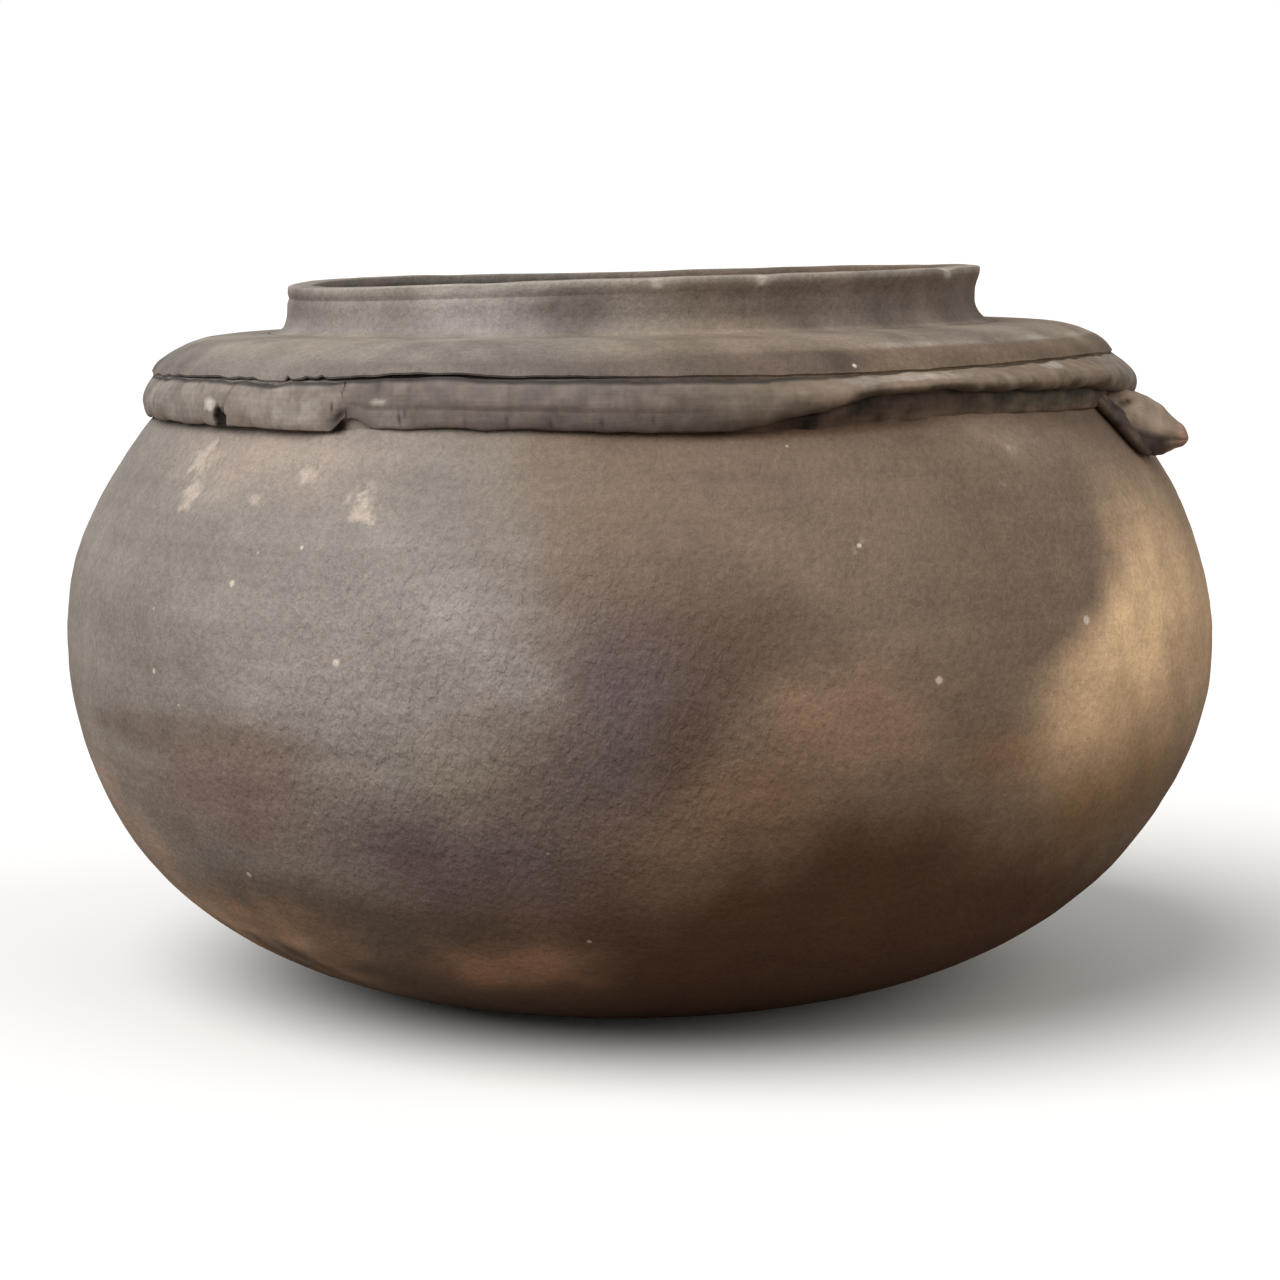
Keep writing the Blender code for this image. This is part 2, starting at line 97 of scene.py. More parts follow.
def setStudio():
    deselectAll()
    bpy.ops.mesh.primitive_plane_add(size=studio["floorSize"])
    floor = bpy.context.object
    floor.name = "floor"
    paint = bpy.data.materials.new("paleFloor")
    paint.use_nodes = True
    tree = paint.node_tree
    tree.nodes.remove(tree.nodes["Principled BSDF"])
    seen = (studio["floorColour"], 0.0)
    look = cameraSwitch(tree, (studio["floorBounce"], 0.0), seen, "BsdfDiffuse", "Roughness")
    tree.links.new(look, tree.nodes["Material Output"].inputs["Surface"])
    floor.data.materials.append(paint)

    sky = bpy.data.worlds.new("studioSky")
    sky.use_nodes = True
    tree = sky.node_tree
    tree.nodes.remove(tree.nodes["Background"])
    around = (studio["ambient"], studio["ambientStrength"])
    look = cameraSwitch(tree, around, (studio["backdrop"], 1.0), "Background", "Strength")
    tree.links.new(look, tree.nodes["World Output"].inputs["Surface"])
    bpy.context.scene.world = sky

    for name, (place, power, spread, colour) in studio["lamps"].items():
        turn = Vector(place).to_track_quat("Z", "Y").to_euler()
        bpy.ops.object.light_add(type="SUN", location=place, rotation=turn)
        lamp = bpy.context.object
        lamp.name = name
        lamp.data.energy = power
        lamp.data.angle = math.radians(spread)
        lamp.data.color = colour
    bpy.context.scene.view_settings.view_transform = "Standard"
    print("camera and studio set")


# Numbers shared by the clay sections and the strap

pot = {
    "bellyRadius": 0.170,
    "bellyHeight": 0.101,
    "restRadius": 0.0525,
    "wall": 0.007,
    "seam": 0.085,            # lute between bowl and belly
    "slant": 0.004,           # fall of a lute through the wall
    "shoulderRadius": 0.1421,
    "shoulderPower": 2.15,
    "shelf": 0.1713,          # foot of the strap
    "seat": 0.1413,           # wall behind the strap
    "ledgeUnder": 0.1852,
    "ledgeTop": 0.1952,
    "neckRadius": 0.1016,
    "neckInner": 0.0951,
    "rim": 0.2105,
    "steps": 640,             # round the pot
    "grain": 0.0016,          # between the points of an outside line
    "innerGrain": 0.005,
    "merge": 0.00001,         # points nearer than this are one
    "back": (120, 178),       # degrees over which the marks of one side fade out behind
}

slump = {                     # how the pot leans and slid as it dried
    "ledgeLean": 1.42,        # degrees, right side up
    "footLean": 1.0,
    "rimLean": 1.65,
    "shoulderSlip": 0.0022,
    "baseSlip": 0.0043,
    "basePower": 1.5,
}

edges = {                     # rise of two hand-made edges, as (angle, millimetres)
    "ledge": ((-180, 0), (-90, 0), (-76, 0), (-57, 0.6), (-48, 0.5), (-43, -0.3), (-38, 0.7), (-32, 1.1),
              (-25, 2.1), (-20, 2.0), (-12, 0.9), (7, 0), (15, -0.5), (23, -0.7), (32, -0.7), (42, -0.4),
              (50, -0.1), (66, 0), (80, -0.5), (95, -0.5), (130, -0.3), (180, 0)),
    "strapFoot": ((-180, 0), (-100, 0.4), (-67, 1.2), (-55, 1.1), (-47, 1.2), (-37, 0.5), (-33, 0.7),
                  (-28, 1.3), (-21, 1.5), (-12, 1.1), (-2, 0.1), (7, -0.6), (18, -0.4), (28, 0.5),
                  (37, 1.3), (46, 1.1), (57, 0.4), (68, 0), (180, 0)),
}


def eased(value, low, high):    # 0 at low, 1 at high, with a soft start and end
    share = np.clip((value - low) / (high - low), 0, 1)
    return share * share * (3 - 2 * share)


def dent(value, centre, width):    # 1 at the centre, gone past about two widths
    return np.exp(-((value - centre) / width) ** 2)


def edgeRise(name, angle):
    knots = np.array(edges[name], float)
    turn = (np.asarray(angle) + 180) % 360 - 180
    after = np.clip(np.searchsorted(knots[:, 0], turn), 1, len(knots) - 1)
    low = knots[after - 1]
    high = knots[after]
    return 0.001 * (low[..., 1] + (high[..., 1] - low[..., 1]) * eased(turn, low[..., 0], high[..., 0]))


def toRight(angle, low, high):    # 0 left of low, 1 right of high, gone again at the back
    return eased(angle, low, high) * (1 - eased(angle, *pot["back"]))


def ripples(points, pitch, seed, count=18):    # unevenness about one pitch long, from crossing waves
    draw = np.random.default_rng(seed)
    total = np.zeros(points.shape[:-1])
    for step in range(count):
        heading = draw.normal(size=3)
        heading *= math.tau / (pitch * draw.uniform(0.7, 1.5) * np.linalg.norm(heading))
        total += np.sin(points @ heading + draw.uniform(0, math.tau))
    return total * math.sqrt(2 / count)


def layered(points, pitch, seed, octaves=4):    # rough unevenness: ripples of ever finer pitch
    return sum(0.6**step * ripples(points, pitch * 0.5**step, seed + step, 12) for step in range(octaves))


def polar(points):
    angle = np.degrees(np.arctan2(points[..., 0], -points[..., 1]))
    return angle, np.hypot(points[..., 0], points[..., 1]), points[..., 2]


def fromPolar(angle, radius, height):
    turn = np.radians(angle)
    return np.stack(np.broadcast_arrays(radius * np.sin(turn), -radius * np.cos(turn), height), -1)


def slumped(points):
    x, y, z = points[..., 0], points[..., 1], points[..., 2]
    belly = pot["bellyHeight"]
    levels = (belly, pot["ledgeUnder"], pot["ledgeTop"], pot["rim"])
    leans = np.radians((0, slump["ledgeLean"], slump["footLean"], slump["rimLean"]))
    tilt = np.interp(z, levels, leans)
    share = np.clip((z - belly) / (pot["ledgeUnder"] - belly), 0, 1)
    low = slump["baseSlip"] * np.clip(1 - z / belly, 0, 1) ** slump["basePower"]
    across = x * np.cos(tilt) - slump["shoulderSlip"] * share**2 - low
    return np.stack((across, y, z + x * np.sin(tilt)), -1)


def shoulderLine(height):    # outside radius above the belly line
    rise = np.clip((height - pot["bellyHeight"]) / (pot["shelf"] - pot["bellyHeight"]), 0, None)
    return pot["bellyRadius"] - (pot["bellyRadius"] - pot["shoulderRadius"]) * rise ** pot["shoulderPower"]


def bowlLine(height, inset=0.0):    # radius below the belly line
    depth = np.clip((pot["bellyHeight"] - height) / (pot["bellyHeight"] - inset), 0, 1)
    across = pot["bellyRadius"] - pot["restRadius"] - inset
    return pot["restRadius"] + across * np.sqrt(1 - depth**2)


# Modelling helpers


def arc(centre, semi, start, stop, count=40):
    turns = np.radians(np.linspace(start, stop, count))
    return np.stack((centre[0] + semi[0] * np.cos(turns), centre[1] + semi[1] * np.sin(turns)), -1)


def line(*corners):
    return np.array(corners, float)


def evenly(points, spacing):    # the same run with evenly spaced points
    gaps = np.hypot(*np.diff(points, axis=0).T)
    reach = np.concatenate(([0], np.cumsum(gaps)))
    places = np.linspace(0, reach[-1], max(2, round(reach[-1] / spacing) + 1))
    return np.stack((np.interp(places, reach, points[:, 0]), np.interp(places, reach, points[:, 1])), -1)


def profile(*runs):    # runs of (points, spacing) joined into one outline
    parts = [evenly(points, spacing) for points, spacing in runs]
    joined = np.concatenate(parts)
    apart = np.hypot(*np.diff(joined, axis=0).T) > 2 * pot["merge"]
    return joined[np.concatenate(([True], apart))]


def smoothRoute(points, count):    # an even, rounded line through given points
    knots = np.array(points, float)
    marks = np.concatenate(([0], np.cumsum(np.linalg.norm(np.diff(knots[:, :2], axis=0), axis=1))))
    fine = np.linspace(0, marks[-1], count * 8)
    dense = np.stack([np.interp(fine, marks, column) for column in knots.T], -1)
    reach = count // 2
    kernel = np.hanning(2 * reach + 1)
    pad = np.pad(dense, ((reach, reach), (0, 0)), mode="reflect", reflect_type="odd")
    soft = np.stack([np.convolve(column, kernel / kernel.sum(), "valid") for column in pad.T], -1)
    return soft[np.linspace(0, len(soft) - 1, count).astype(int)]


def startPiece(name):
    piece = bpy.context.object
    piece.name = name
    piece.data.name = name
    bpy.ops.object.transform_apply(location=True, rotation=True, scale=True)
    return piece


def lathe(name, outline, closed):    # an outline drawn point by point, then spun
    deselectAll()
    bpy.ops.mesh.primitive_plane_add(size=pot["grain"], location=(outline[0][0], 0, outline[0][1]))
    piece = startPiece(name)
    bpy.ops.object.mode_set(mode="EDIT")
    bpy.ops.mesh.merge(type="CENTER")
    stops = np.concatenate((outline, outline[:1])) if closed else outline
    for step in np.diff(stops, axis=0):
        bpy.ops.mesh.extrude_region_move(TRANSFORM_OT_translate={"value": (step[0], 0, step[1])})
    tidyMesh()
    turned(piece, pot["steps"], math.tau)
    return piece


def turned(piece, steps, sweep):    # the drawn outline is swept round the upright axis
    lathing = piece.modifiers.new("lathing", "SCREW")
    lathing.axis = "Z"
    lathing.angle = sweep
    lathing.steps = steps
    lathing.render_steps = steps
    lathing.use_merge_vertices = True
    lathing.merge_threshold = pot["merge"]
    bpy.ops.object.modifier_apply(modifier=lathing.name)
    tidyMesh()


def editAll(change, **settings):    # one change to the whole mesh
    bpy.ops.object.mode_set(mode="EDIT")
    bpy.ops.mesh.select_all(action="SELECT")
    change(**settings)
    bpy.ops.object.mode_set(mode="OBJECT")


def tidyMesh():    # doubles merged, faces turned outwards
    editAll(bpy.ops.mesh.remove_doubles, threshold=pot["merge"])
    editAll(bpy.ops.mesh.normals_make_consistent, inside=False)


def sleeve(name, rings):    # a tube spun from a circle, whose rings then take their places
    count, sides = rings.shape[:2]
    sweep = math.radians(170)
    deselectAll()
    upright = (math.pi / 2, 0, 0)
    bpy.ops.mesh.primitive_circle_add(vertices=sides, radius=0.1, location=(1, 0, 0), rotation=upright)
    piece = startPiece(name)
    turned(piece, count - 1, sweep)
    editAll(bpy.ops.mesh.fill_holes, sides=0)
    spun = pointsOf(piece)
    turn = np.abs(np.arctan2(spun[:, 1], spun[:, 0]))
    ring = np.rint(turn / sweep * (count - 1)).astype(int)
    phase = np.arctan2(spun[:, 2], np.hypot(spun[:, 0], spun[:, 1]) - 1)
    side = np.rint(phase / math.tau * sides).astype(int) % sides
    setPoints(piece, rings[ring, side])
    editAll(bpy.ops.mesh.normals_make_consistent, inside=False)
    return piece, ring, side


def pointsOf(piece):
    flat = np.empty(len(piece.data.vertices) * 3, np.float32)
    piece.data.vertices.foreach_get("co", flat)
    return flat.reshape(-1, 3).astype(float)


def setPoints(piece, points):
    piece.data.vertices.foreach_set("co", points.astype(np.float32).ravel())
    piece.data.update()


def setValues(piece, name, values):    # a number on each point, for the piece's finish
    made = piece.data.attributes.new(name, "FLOAT", "POINT")
    made.data.foreach_set("value", np.asarray(values, np.float32))


def setColours(piece, colours):    # a colour on each point, for the piece's finish
    made = piece.data.attributes.new("tint", "FLOAT_COLOR", "POINT")
    full = np.concatenate((np.clip(colours, 0, 1), np.ones((len(colours), 1))), 1)
    made.data.foreach_set("color", full.astype(np.float32).ravel())


def mixed(colours, tint, share):    # colours drawn towards a tint
    return colours + (np.array(tint[:3]) - colours) * np.clip(share, 0, 1)[..., None]


def plainColour(tint, points):    # one tint on all the points
    return np.broadcast_to(np.array(tint[:3]), points.shape)


def dimmed(colours, factor):    # colours made darker or lighter
    return colours * factor[..., None]


def tone(red, green, blue):    # a colour as seen on a screen, 0 to 255, for a shader
    shares = [value / 255 for value in (red, green, blue)]
    linear = [s / 12.92 if s <= 0.04045 else ((s + 0.055) / 1.055) ** 2.4 for s in shares]
    return (*linear, 1.0)


def pick(piece):    # the one selected and active object
    deselectAll()
    bpy.context.view_layer.objects.active = piece
    piece.select_set(True)


def roughen(piece, pitch, depth):    # fine relief from a cloud texture
    cloud = bpy.data.textures.new(piece.name + "Relief", "CLOUDS")
    cloud.noise_scale = pitch
    cloud.noise_depth = 3
    relief = piece.modifiers.new("relief", "DISPLACE")
    relief.texture = cloud
    relief.texture_coords = "LOCAL"
    relief.strength = depth
    relief.mid_level = 0.5
    pick(piece)
    bpy.ops.object.modifier_apply(modifier=relief.name)


def finishPiece(piece, node, finish, sharp):
    pick(piece)
    bpy.ops.object.shade_smooth_by_angle(angle=math.radians(sharp))
    piece.data.materials.clear()
    piece.data.materials.append(finish)
    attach(piece, "root")
    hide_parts(node)
    print(piece.name, "made,", len(piece.data.polygons), "faces")


# Clay sections

clay = {
    "sag": (0.085, 0.00045),       # pitch and depth of the slow unevenness
    "dimple": (0.022, 0.00008),    # and of the beaten dimples
    "relief": (0.009, 0.00005),
    "beaten": (-14, 0.098, 0.110, 0.070, 0, 0.3),    # where the flakes are thickest, as a fire cloud
    "plain": 0.45,                 # relief elsewhere
    "sharp": 40,
}

clayTints = {
    "left": tone(137, 130, 123),
    "right": tone(121, 103, 88),
    "dust": tone(147, 135, 121),           # lies on what faces up
    # soot, also painted shade at the foot and under the strap
    "sootAndShade": tone(86, 61, 46),
    "buff": tone(232, 198, 158),           # pale patch at the right
    "faceShadeRight": tone(106, 90, 75),             # painted shade on the face of the ledge at the right
    "faceShadeLeft": tone(92, 82, 76),              # and at the left
    "inner": tone(74, 62, 54),
    "chip": tone(198, 190, 174),
    "wearAndPaintedLight": tone(166, 158, 148),           # painted highlight on the edge of the lip, and the rubbed brow of the ledge
}

sootAndShade = {           # the sooty foot, deepened as painted shade, most at the right: angle and height of its upper edge
    "edge": ((-180, 0.050), (-70, 0.030), (-30, 0.053), (-8, 0.050), (0, 0.051), (8, 0.056), (18, 0.073),
             (28, 0.068), (38, 0.060), (50, 0.056), (58, 0.048), (70, 0.042), (100, 0.046), (180, 0.050)),
    "soft": 0.014,
    "crisp": 0.013,          # the edge's softness at the right
    "left": 0.60,
    "right": 0.97,
}

buff = {           # the buff patch, by height: angle of its brightest line, and its reach to the left
    "middle": ((0.050, 46), (0.070, 46), (0.090, 47), (0.110, 51), (0.130, 57), (0.150, 60), (0.170, 62)),
    "start": ((0.090, 15), (0.110, 14), (0.124, 11)),
    "rise": (0.060, 0.112),
    "fade": (0.116, 0.168),
    "full": -2,              # degrees from that line
    "dim": (1, 17),          # then it dims by a share
    "dimShare": 0.46,
    "end": (15, 65),         # and ends
}

fireClouds = (     # angle and height of the middle, half sizes, tilt, even share, tint, strength
    (-42, 0.164, 0.060, 0.018, 0, 0.3, tone(158, 144, 134), 0.90),        # warm left shoulder
    (-25, 0.121, 0.066, 0.034, 0, 0.45, tone(145, 137, 132), 0.90),       # ash
    (-41, 0.072, 0.056, 0.026, 0, 0.3, tone(128, 110, 102), 0.85),        # mauve under it
    (-70, 0.052, 0.046, 0.036, 0, 0.3, tone(166, 146, 131), 0.85),        # pale left flank
    (-15, 0.060, 0.050, 0.022, -6, 0.2, tone(110, 94, 95), 0.90),         # violet
    (-1.5, 0.100, 0.029, 0.046, -20, 0.2, tone(100, 86, 87), 0.90),       # plum band
    (7, 0.119, 0.034, 0.025, 0, 0.2, tone(94, 77, 65), 0.90),             # and its dark head
    (20, 0.100, 0.036, 0.019, 16, 0.3, tone(143, 116, 95), 0.95),         # rust
    (10, 0.076, 0.032, 0.020, 20, 0.2, tone(128, 101, 80), 0.80),         # and its foot
    (34, 0.084, 0.018, 0.012, 0, 0.2, tone(136, 107, 82), 0.70),
    (3.5, 0.094, 0.013, 0.018, -10, 0.2, tone(88, 70, 57), 0.75),         # dark gap between plum and rust
    (54, 0.072, 0.050, 0.022, 0, 0.3, tone(124, 98, 70), 0.85),           # tan under the clean patch
    (34, 0.144, 0.036, 0.024, 0, 0.3, tone(113, 96, 80), 0.70),           # olive
    (8, 0.162, 0.036, 0.014, 0, 0.3, tone(110, 93, 81), 0.60),            # dull shoulder
    (42, 0.170, 0.040, 0.012, 0, 0.3, tone(150, 131, 114), 0.85),         # pale right shoulder
    (165, 0.110, 0.090, 0.050, 10, 0.1, tone(104, 90, 80), 0.70),         # back
    (-132, 0.130, 0.060, 0.036, -14, 0.2, tone(172, 148, 122), 0.70),
    (-26, 0.203, 0.025, 0.011, 0, 0.2, tone(170, 162, 158), 0.75),        # neck
    (-66, 0.203, 0.056, 0.016, 0, 0.2, tone(132, 126, 120), 0.85),
    (-9, 0.203, 0.013, 0.012, 0, 0.3, tone(104, 96, 89), 0.80),
    (46, 0.203, 0.074, 0.024, 0, 0.5, tone(110, 99, 91), 0.90),
)

smears = (         # pale rubs through the soot, and one on the ledge: as above
    (-52, 0.024, 0.040, 0.016, -8, 0.0, tone(210, 178, 150), 0.85),
    (-46, 0.036, 0.036, 0.012, -8, 0.0, tone(162, 133, 112), 0.60),
    (-14, 0.028, 0.028, 0.012, 4, 0.0, tone(156, 123, 101), 0.95),
    (66, 0.1925, 0.012, 0.0035, 0, 0.2, tone(170, 158, 140), 0.55),       # brow of the ledge
)

scuffs = (         # dry scuffs, mostly under the strap: as above, with the strength in place of the tint
    (-52.5, 0.1630, 0.015, 0.011, -30, 0.0, 0.70),
    (-51.5, 0.1550, 0.009, 0.015, -20, 0.0, 0.72),
    (-40.5, 0.1540, 0.008, 0.005, 0, 0.0, 0.58),
    (-34.5, 0.1610, 0.008, 0.010, 0, 0.0, 0.62),
    (-27.0, 0.1530, 0.009, 0.014, 15, 0.0, 0.70),
    (20.7, 0.1420, 0.005, 0.006, 0, 0.0, 0.45),
    (38.0, 0.1550, 0.008, 0.004, 0, 0.0, 0.45),
    (42.0, 0.1630, 0.010, 0.004, 0, 0.0, 0.40),
    (124, 0.150, 0.014, 0.007, 20, 0.0, 0.7),
    (-158, 0.142, 0.014, 0.009, -15, 0.0, 0.7),
)

marks = (          # dark marks with steadier borders, some of them painted shade: as the fire clouds
    (18.5, 0.1884, 0.0225, 0.0036, 0, 0.6, tone(84, 71, 65), 0.80),       # painted shade on the face of the ledge
    (9, 0.1935, 0.040, 0.012, 0, 0.3, tone(112, 97, 84), 0.45),           # a patch on the ledge's top
    (-47, 0.0885, 0.060, 0.0072, 0.8, 0.55, tone(108, 93, 83), 0.58),     # level band at the left
    (-33.2, 0.1726, 0.0036, 0.0030, 0, 0.3, tone(30, 22, 17), 0.95),      # painted shadow behind the strap's torn corner
    (68.0, 0.1660, 0.0060, 0.0100, 35, 0.2, tone(76, 62, 53), 0.70),      # painted shadow beside the hitch
)


def patchShare(patch, angle, radius, height, sway, lift):    # 1 in the middle, soft all round
    at, middle, across, up, tilt, even = patch[:6]
    steady = 0 if middle > pot["shelf"] else min(1, across / 0.04)    # small patches are torn less
    home = shoulderLine(middle) if middle > pot["bellyHeight"] else bowlLine(middle)
    home = pot["seat"] if middle > pot["shelf"] else home
    home = pot["neckRadius"] if middle > pot["ledgeTop"] else home
    turn = np.radians(angle - at)
    aside = radius * np.sin(turn) + steady * sway
    rise = height - middle + steady * lift
    away = radius * np.cos(turn) - home
    lean = math.radians(tilt)
    level = aside * math.cos(lean) + rise * math.sin(lean)
    plumb = rise * math.cos(lean) - aside * math.sin(lean)
    reach = np.sqrt((level / across) ** 2 + (plumb / up) ** 2 + (away / max(across, up)) ** 2)
    return np.exp(-2.2 * np.clip((reach - even) / (1 - even), 0, None) ** 2)


def painted(colours, patches, place, sway, lift, uneven):    # patches laid over the colours in turn
    for patch in patches:
        share = patchShare(patch, *place, sway, lift)
        colours = mixed(colours, patch[6], patch[7] * share * uneven)
    return colours


def buffShare(angle, height):    # sharp at its left border, fading slowly to the right
    off = angle - np.interp(height, *zip(*buff["middle"]))
    start = np.interp(height, *zip(*buff["start"]))
    share = eased(off, -start, buff["full"]) * (1 - buff["dimShare"] * eased(off, *buff["dim"]))
    share = share * (1 - eased(off, *buff["end"]))
    return share * eased(height, *buff["rise"]) * (1 - eased(height, *buff["fade"]))


wearAndPaintedLight = {           # how fire, dust, soot and use show on the clay, with painted shade and highlights
    "sway": 0.0035,               # metres by which a cloud's border goes aside
    "lift": 0.0020,               # and up
    "level": (0.15, 0.15, 1),     # stretch of the level streaks
    "plumb": (1, 1, 0.25),        # and of the drags down the wall
    "change": (-0.078, 0.000),    # across the pot, from the left tone to the right one
    "aside": 0.045,               # the change above the strap is further right
    "dust": 0.45,
    "break": 0.1909,              # height at which the ledge's face breaks from its top
    "crisp": 0.0006,              # half height of the break at the right
    "blur": 0.0024,               # added to it at the left
    "face": (0.30, 0.48),         # share of the painted shade on the ledge's face at the left, and what is added at the right
    "brow": (0.1917, 0.0007, 0.30),    # rubbed line over the break: height, half height, share
    "shadeUnderStrap": 0.70,                # painted shadow at the foot of the strap
    # share of the painted highlight on the lip's edge
    "lip": 0.50,
    "chip": 0.60,
    "inner": 0.92,
}


def clayColours(points, inside, top):    # what the fire, the soot and the dust left on the clay, with painted shade and highlights
    place = polar(points)
    angle, radius, height = place
    sway = wearAndPaintedLight["sway"] * layered(points, 0.050, 71, 3)
    lift = wearAndPaintedLight["lift"] * layered(points, 0.050, 81, 3)
    rough = layered(points, 0.024, 91, 2)
    streak = layered(points * wearAndPaintedLight["level"], 0.018, 95, 2)
    dragged = layered(points * wearAndPaintedLight["plumb"], 0.018, 97, 2)
    body = height < pot["shelf"]
    share = eased(points[:, 0] + sway - wearAndPaintedLight["aside"] * (1 - body), *wearAndPaintedLight["change"])
    colours = mixed(plainColour(clayTints["left"], points), clayTints["right"], share)
    colours = painted(colours, fireClouds, place, sway, lift, 1 + 0.06 * dragged + 0.05 * streak)
    share = buffShare(angle + np.degrees(0.3 * sway / pot["bellyRadius"]), height)
    colours = mixed(colours, clayTints["buff"], share * body * (1 + 0.05 * rough))
    colours = mixed(colours, clayTints["dust"], wearAndPaintedLight["dust"] * top * (1 + 0.2 * streak))

    sharp = wearAndPaintedLight["crisp"] + wearAndPaintedLight["blur"] * (1 - toRight(angle, -10, 14))    # painted shade: the face of the ledge darker than its top
    face = 1 - eased(height, wearAndPaintedLight["break"] - sharp, wearAndPaintedLight["break"] + sharp)
    face = face * eased(height, pot["shelf"], pot["ledgeUnder"])
    face = face * (wearAndPaintedLight["face"][0] + wearAndPaintedLight["face"][1] * toRight(angle, -50, 0))
    level, half, rubAndHighlight = wearAndPaintedLight["brow"]
    brow = dent(height, level, half) * toRight(angle, 18, 40) * (1 + 0.4 * rough)
    colours = mixed(colours, clayTints["wearAndPaintedLight"], rubAndHighlight * brow)
    plain = mixed(plainColour(clayTints["faceShadeLeft"], points), clayTints["faceShadeRight"], toRight(angle, 0, 25))
    colours = colours + (plain - colours) * face[:, None]
    # painted shadow on the shoulder just under the strap
    shadeUnderStrap = eased(height, pot["shelf"] - 0.0026, pot["shelf"] - 0.0004) * body
    shadeUnderStrap = shadeUnderStrap * eased(angle, -8, 8) * (1 - eased(angle, 26, 40))
    colours = mixed(colours, clayTints["sootAndShade"], wearAndPaintedLight["shadeUnderStrap"] * shadeUnderStrap)
    colours = painted(colours, marks, place, 0, 0, 1)

    edge = np.interp(angle, *zip(*sootAndShade["edge"]))    # sooty foot, with painted shade deepening it, most at the right
    soft = sootAndShade["soft"] + (sootAndShade["crisp"] - sootAndShade["soft"]) * toRight(angle, -10, 10)
    uneven = height + 0.0012 * dragged + 0.0016 * streak + 0.5 * lift
    depth = sootAndShade["left"] + (sootAndShade["right"] - sootAndShade["left"]) * toRight(angle, -10, 6)
    colours = mixed(colours, clayTints["sootAndShade"], depth * (1 - eased(uneven, edge - soft, edge + soft)))
    colours = painted(colours, smears, place, sway, lift, 1 + 0.35 * rough + 0.2 * streak)

    rim = pot["rim"]    # painted highlight on the lip's edge, its chips, and the inside
    outer = eased(radius, pot["neckRadius"] - 0.004, pot["neckRadius"])
    outer = outer * eased(height, rim - 0.0035, rim - 0.002)
    # painted highlight along the lip's upper edge
    rubAndHighlight = outer * eased(height, rim - 0.0022, rim - 0.001)
    colours = mixed(colours, clayTints["wearAndPaintedLight"], wearAndPaintedLight["lip"] * rubAndHighlight)
    for at, width, bite in neck["chips"]:
        chip = outer * dent(angle, at, width * 0.3) * (1 + 0.2 * rough)
        colours = mixed(colours, clayTints["chip"], wearAndPaintedLight["chip"] * chip)
    mottle = (0.025 + 0.05 * (1 - body)) * rough + 0.035 * streak * eased(-points[:, 0], -0.02, 0.06)
    deep = 1 - 0.7 * eased(height, rim - 0.014, rim)
    return mixed(dimmed(colours, 1 + mottle), clayTints["inner"], wearAndPaintedLight["inner"] * inside * deep)


def handShape(piece, *moves):    # hand-made unevenness, then the slump
    points = pointsOf(piece)
    angle, radius, height = polar(points)
    body = radius / pot["bellyRadius"]
    radius = radius + body * clay["sag"][1] * ripples(points, clay["sag"][0], 3)
    radius = radius + body * clay["dimple"][1] * ripples(points, clay["dimple"][0], 4)
    radius = radius + clay["relief"][1] * ripples(points, clay["relief"][0], 5)
    for move in moves:
        radius, height = move(angle, radius, height)
    setPoints(piece, slumped(fromPolar(angle, radius, height)))
    normals = np.empty(len(points) * 3, np.float32)
    piece.data.vertices.foreach_get("normal", normals)
    normals = normals.reshape(-1, 3)
    facing = (normals * fromPolar(angle, 1.0, 0.0)).sum(1)
    inside = eased(-facing, 0.15, 0.6)
    beaten = patchShare(clay["beaten"], angle, radius, height, 0, 0)
    setColours(piece, clayColours(points, inside, eased(normals[:, 2], 0.76, 0.96)))
    setValues(piece, "beaten", clay["plain"] + (1 - clay["plain"]) * beaten)
    worn = [patch[6] * patchShare(patch, angle, radius, height, 0, 0) for patch in scuffs]
    setValues(piece, "scuff", np.max(worn, axis=0))


def shelfRise(angle, radius, height):    # the shoulder goes up and down with the foot of the strap
    share = eased(height, 0.150, pot["shelf"])
    share = share * (1 - eased(height, pot["shelf"] + 0.002, pot["ledgeUnder"] - 0.002))
    return radius, height + edgeRise("strapFoot", angle) * share


def makeBowl(finish):
    floor = pot["wall"]
    foot = pot["restRadius"]
    middle = (foot, pot["bellyHeight"])
    semiIn = (pot["bellyRadius"] - foot - floor, floor - pot["bellyHeight"])
    semiOut = (pot["bellyRadius"] - foot, -pot["bellyHeight"])
    topIn = math.degrees(math.asin((pot["bellyHeight"] - pot["seam"] + pot["slant"]) / -semiIn[1]))
    topOut = math.degrees(math.asin((pot["bellyHeight"] - pot["seam"]) / -semiOut[1]))
    bowlIn = arc(middle, semiIn, 90, topIn, 60)
    bowlOut = arc(middle, semiOut, topOut, 90, 90)
    lute = np.stack((bowlIn[-1], bowlOut[0]))
    outline = profile((line((0, floor), (foot, floor)), pot["innerGrain"]), (bowlIn, pot["innerGrain"]),
                      (lute, pot["wall"]), (bowlOut[:3], 0.0003), (bowlOut[2:], pot["grain"]),
                      (line((foot, 0), (0, 0)), pot["innerGrain"]))
    piece = lathe("bowl", outline, False)
    handShape(piece)
    finishPiece(piece, "base_bowl", finish, clay["sharp"])


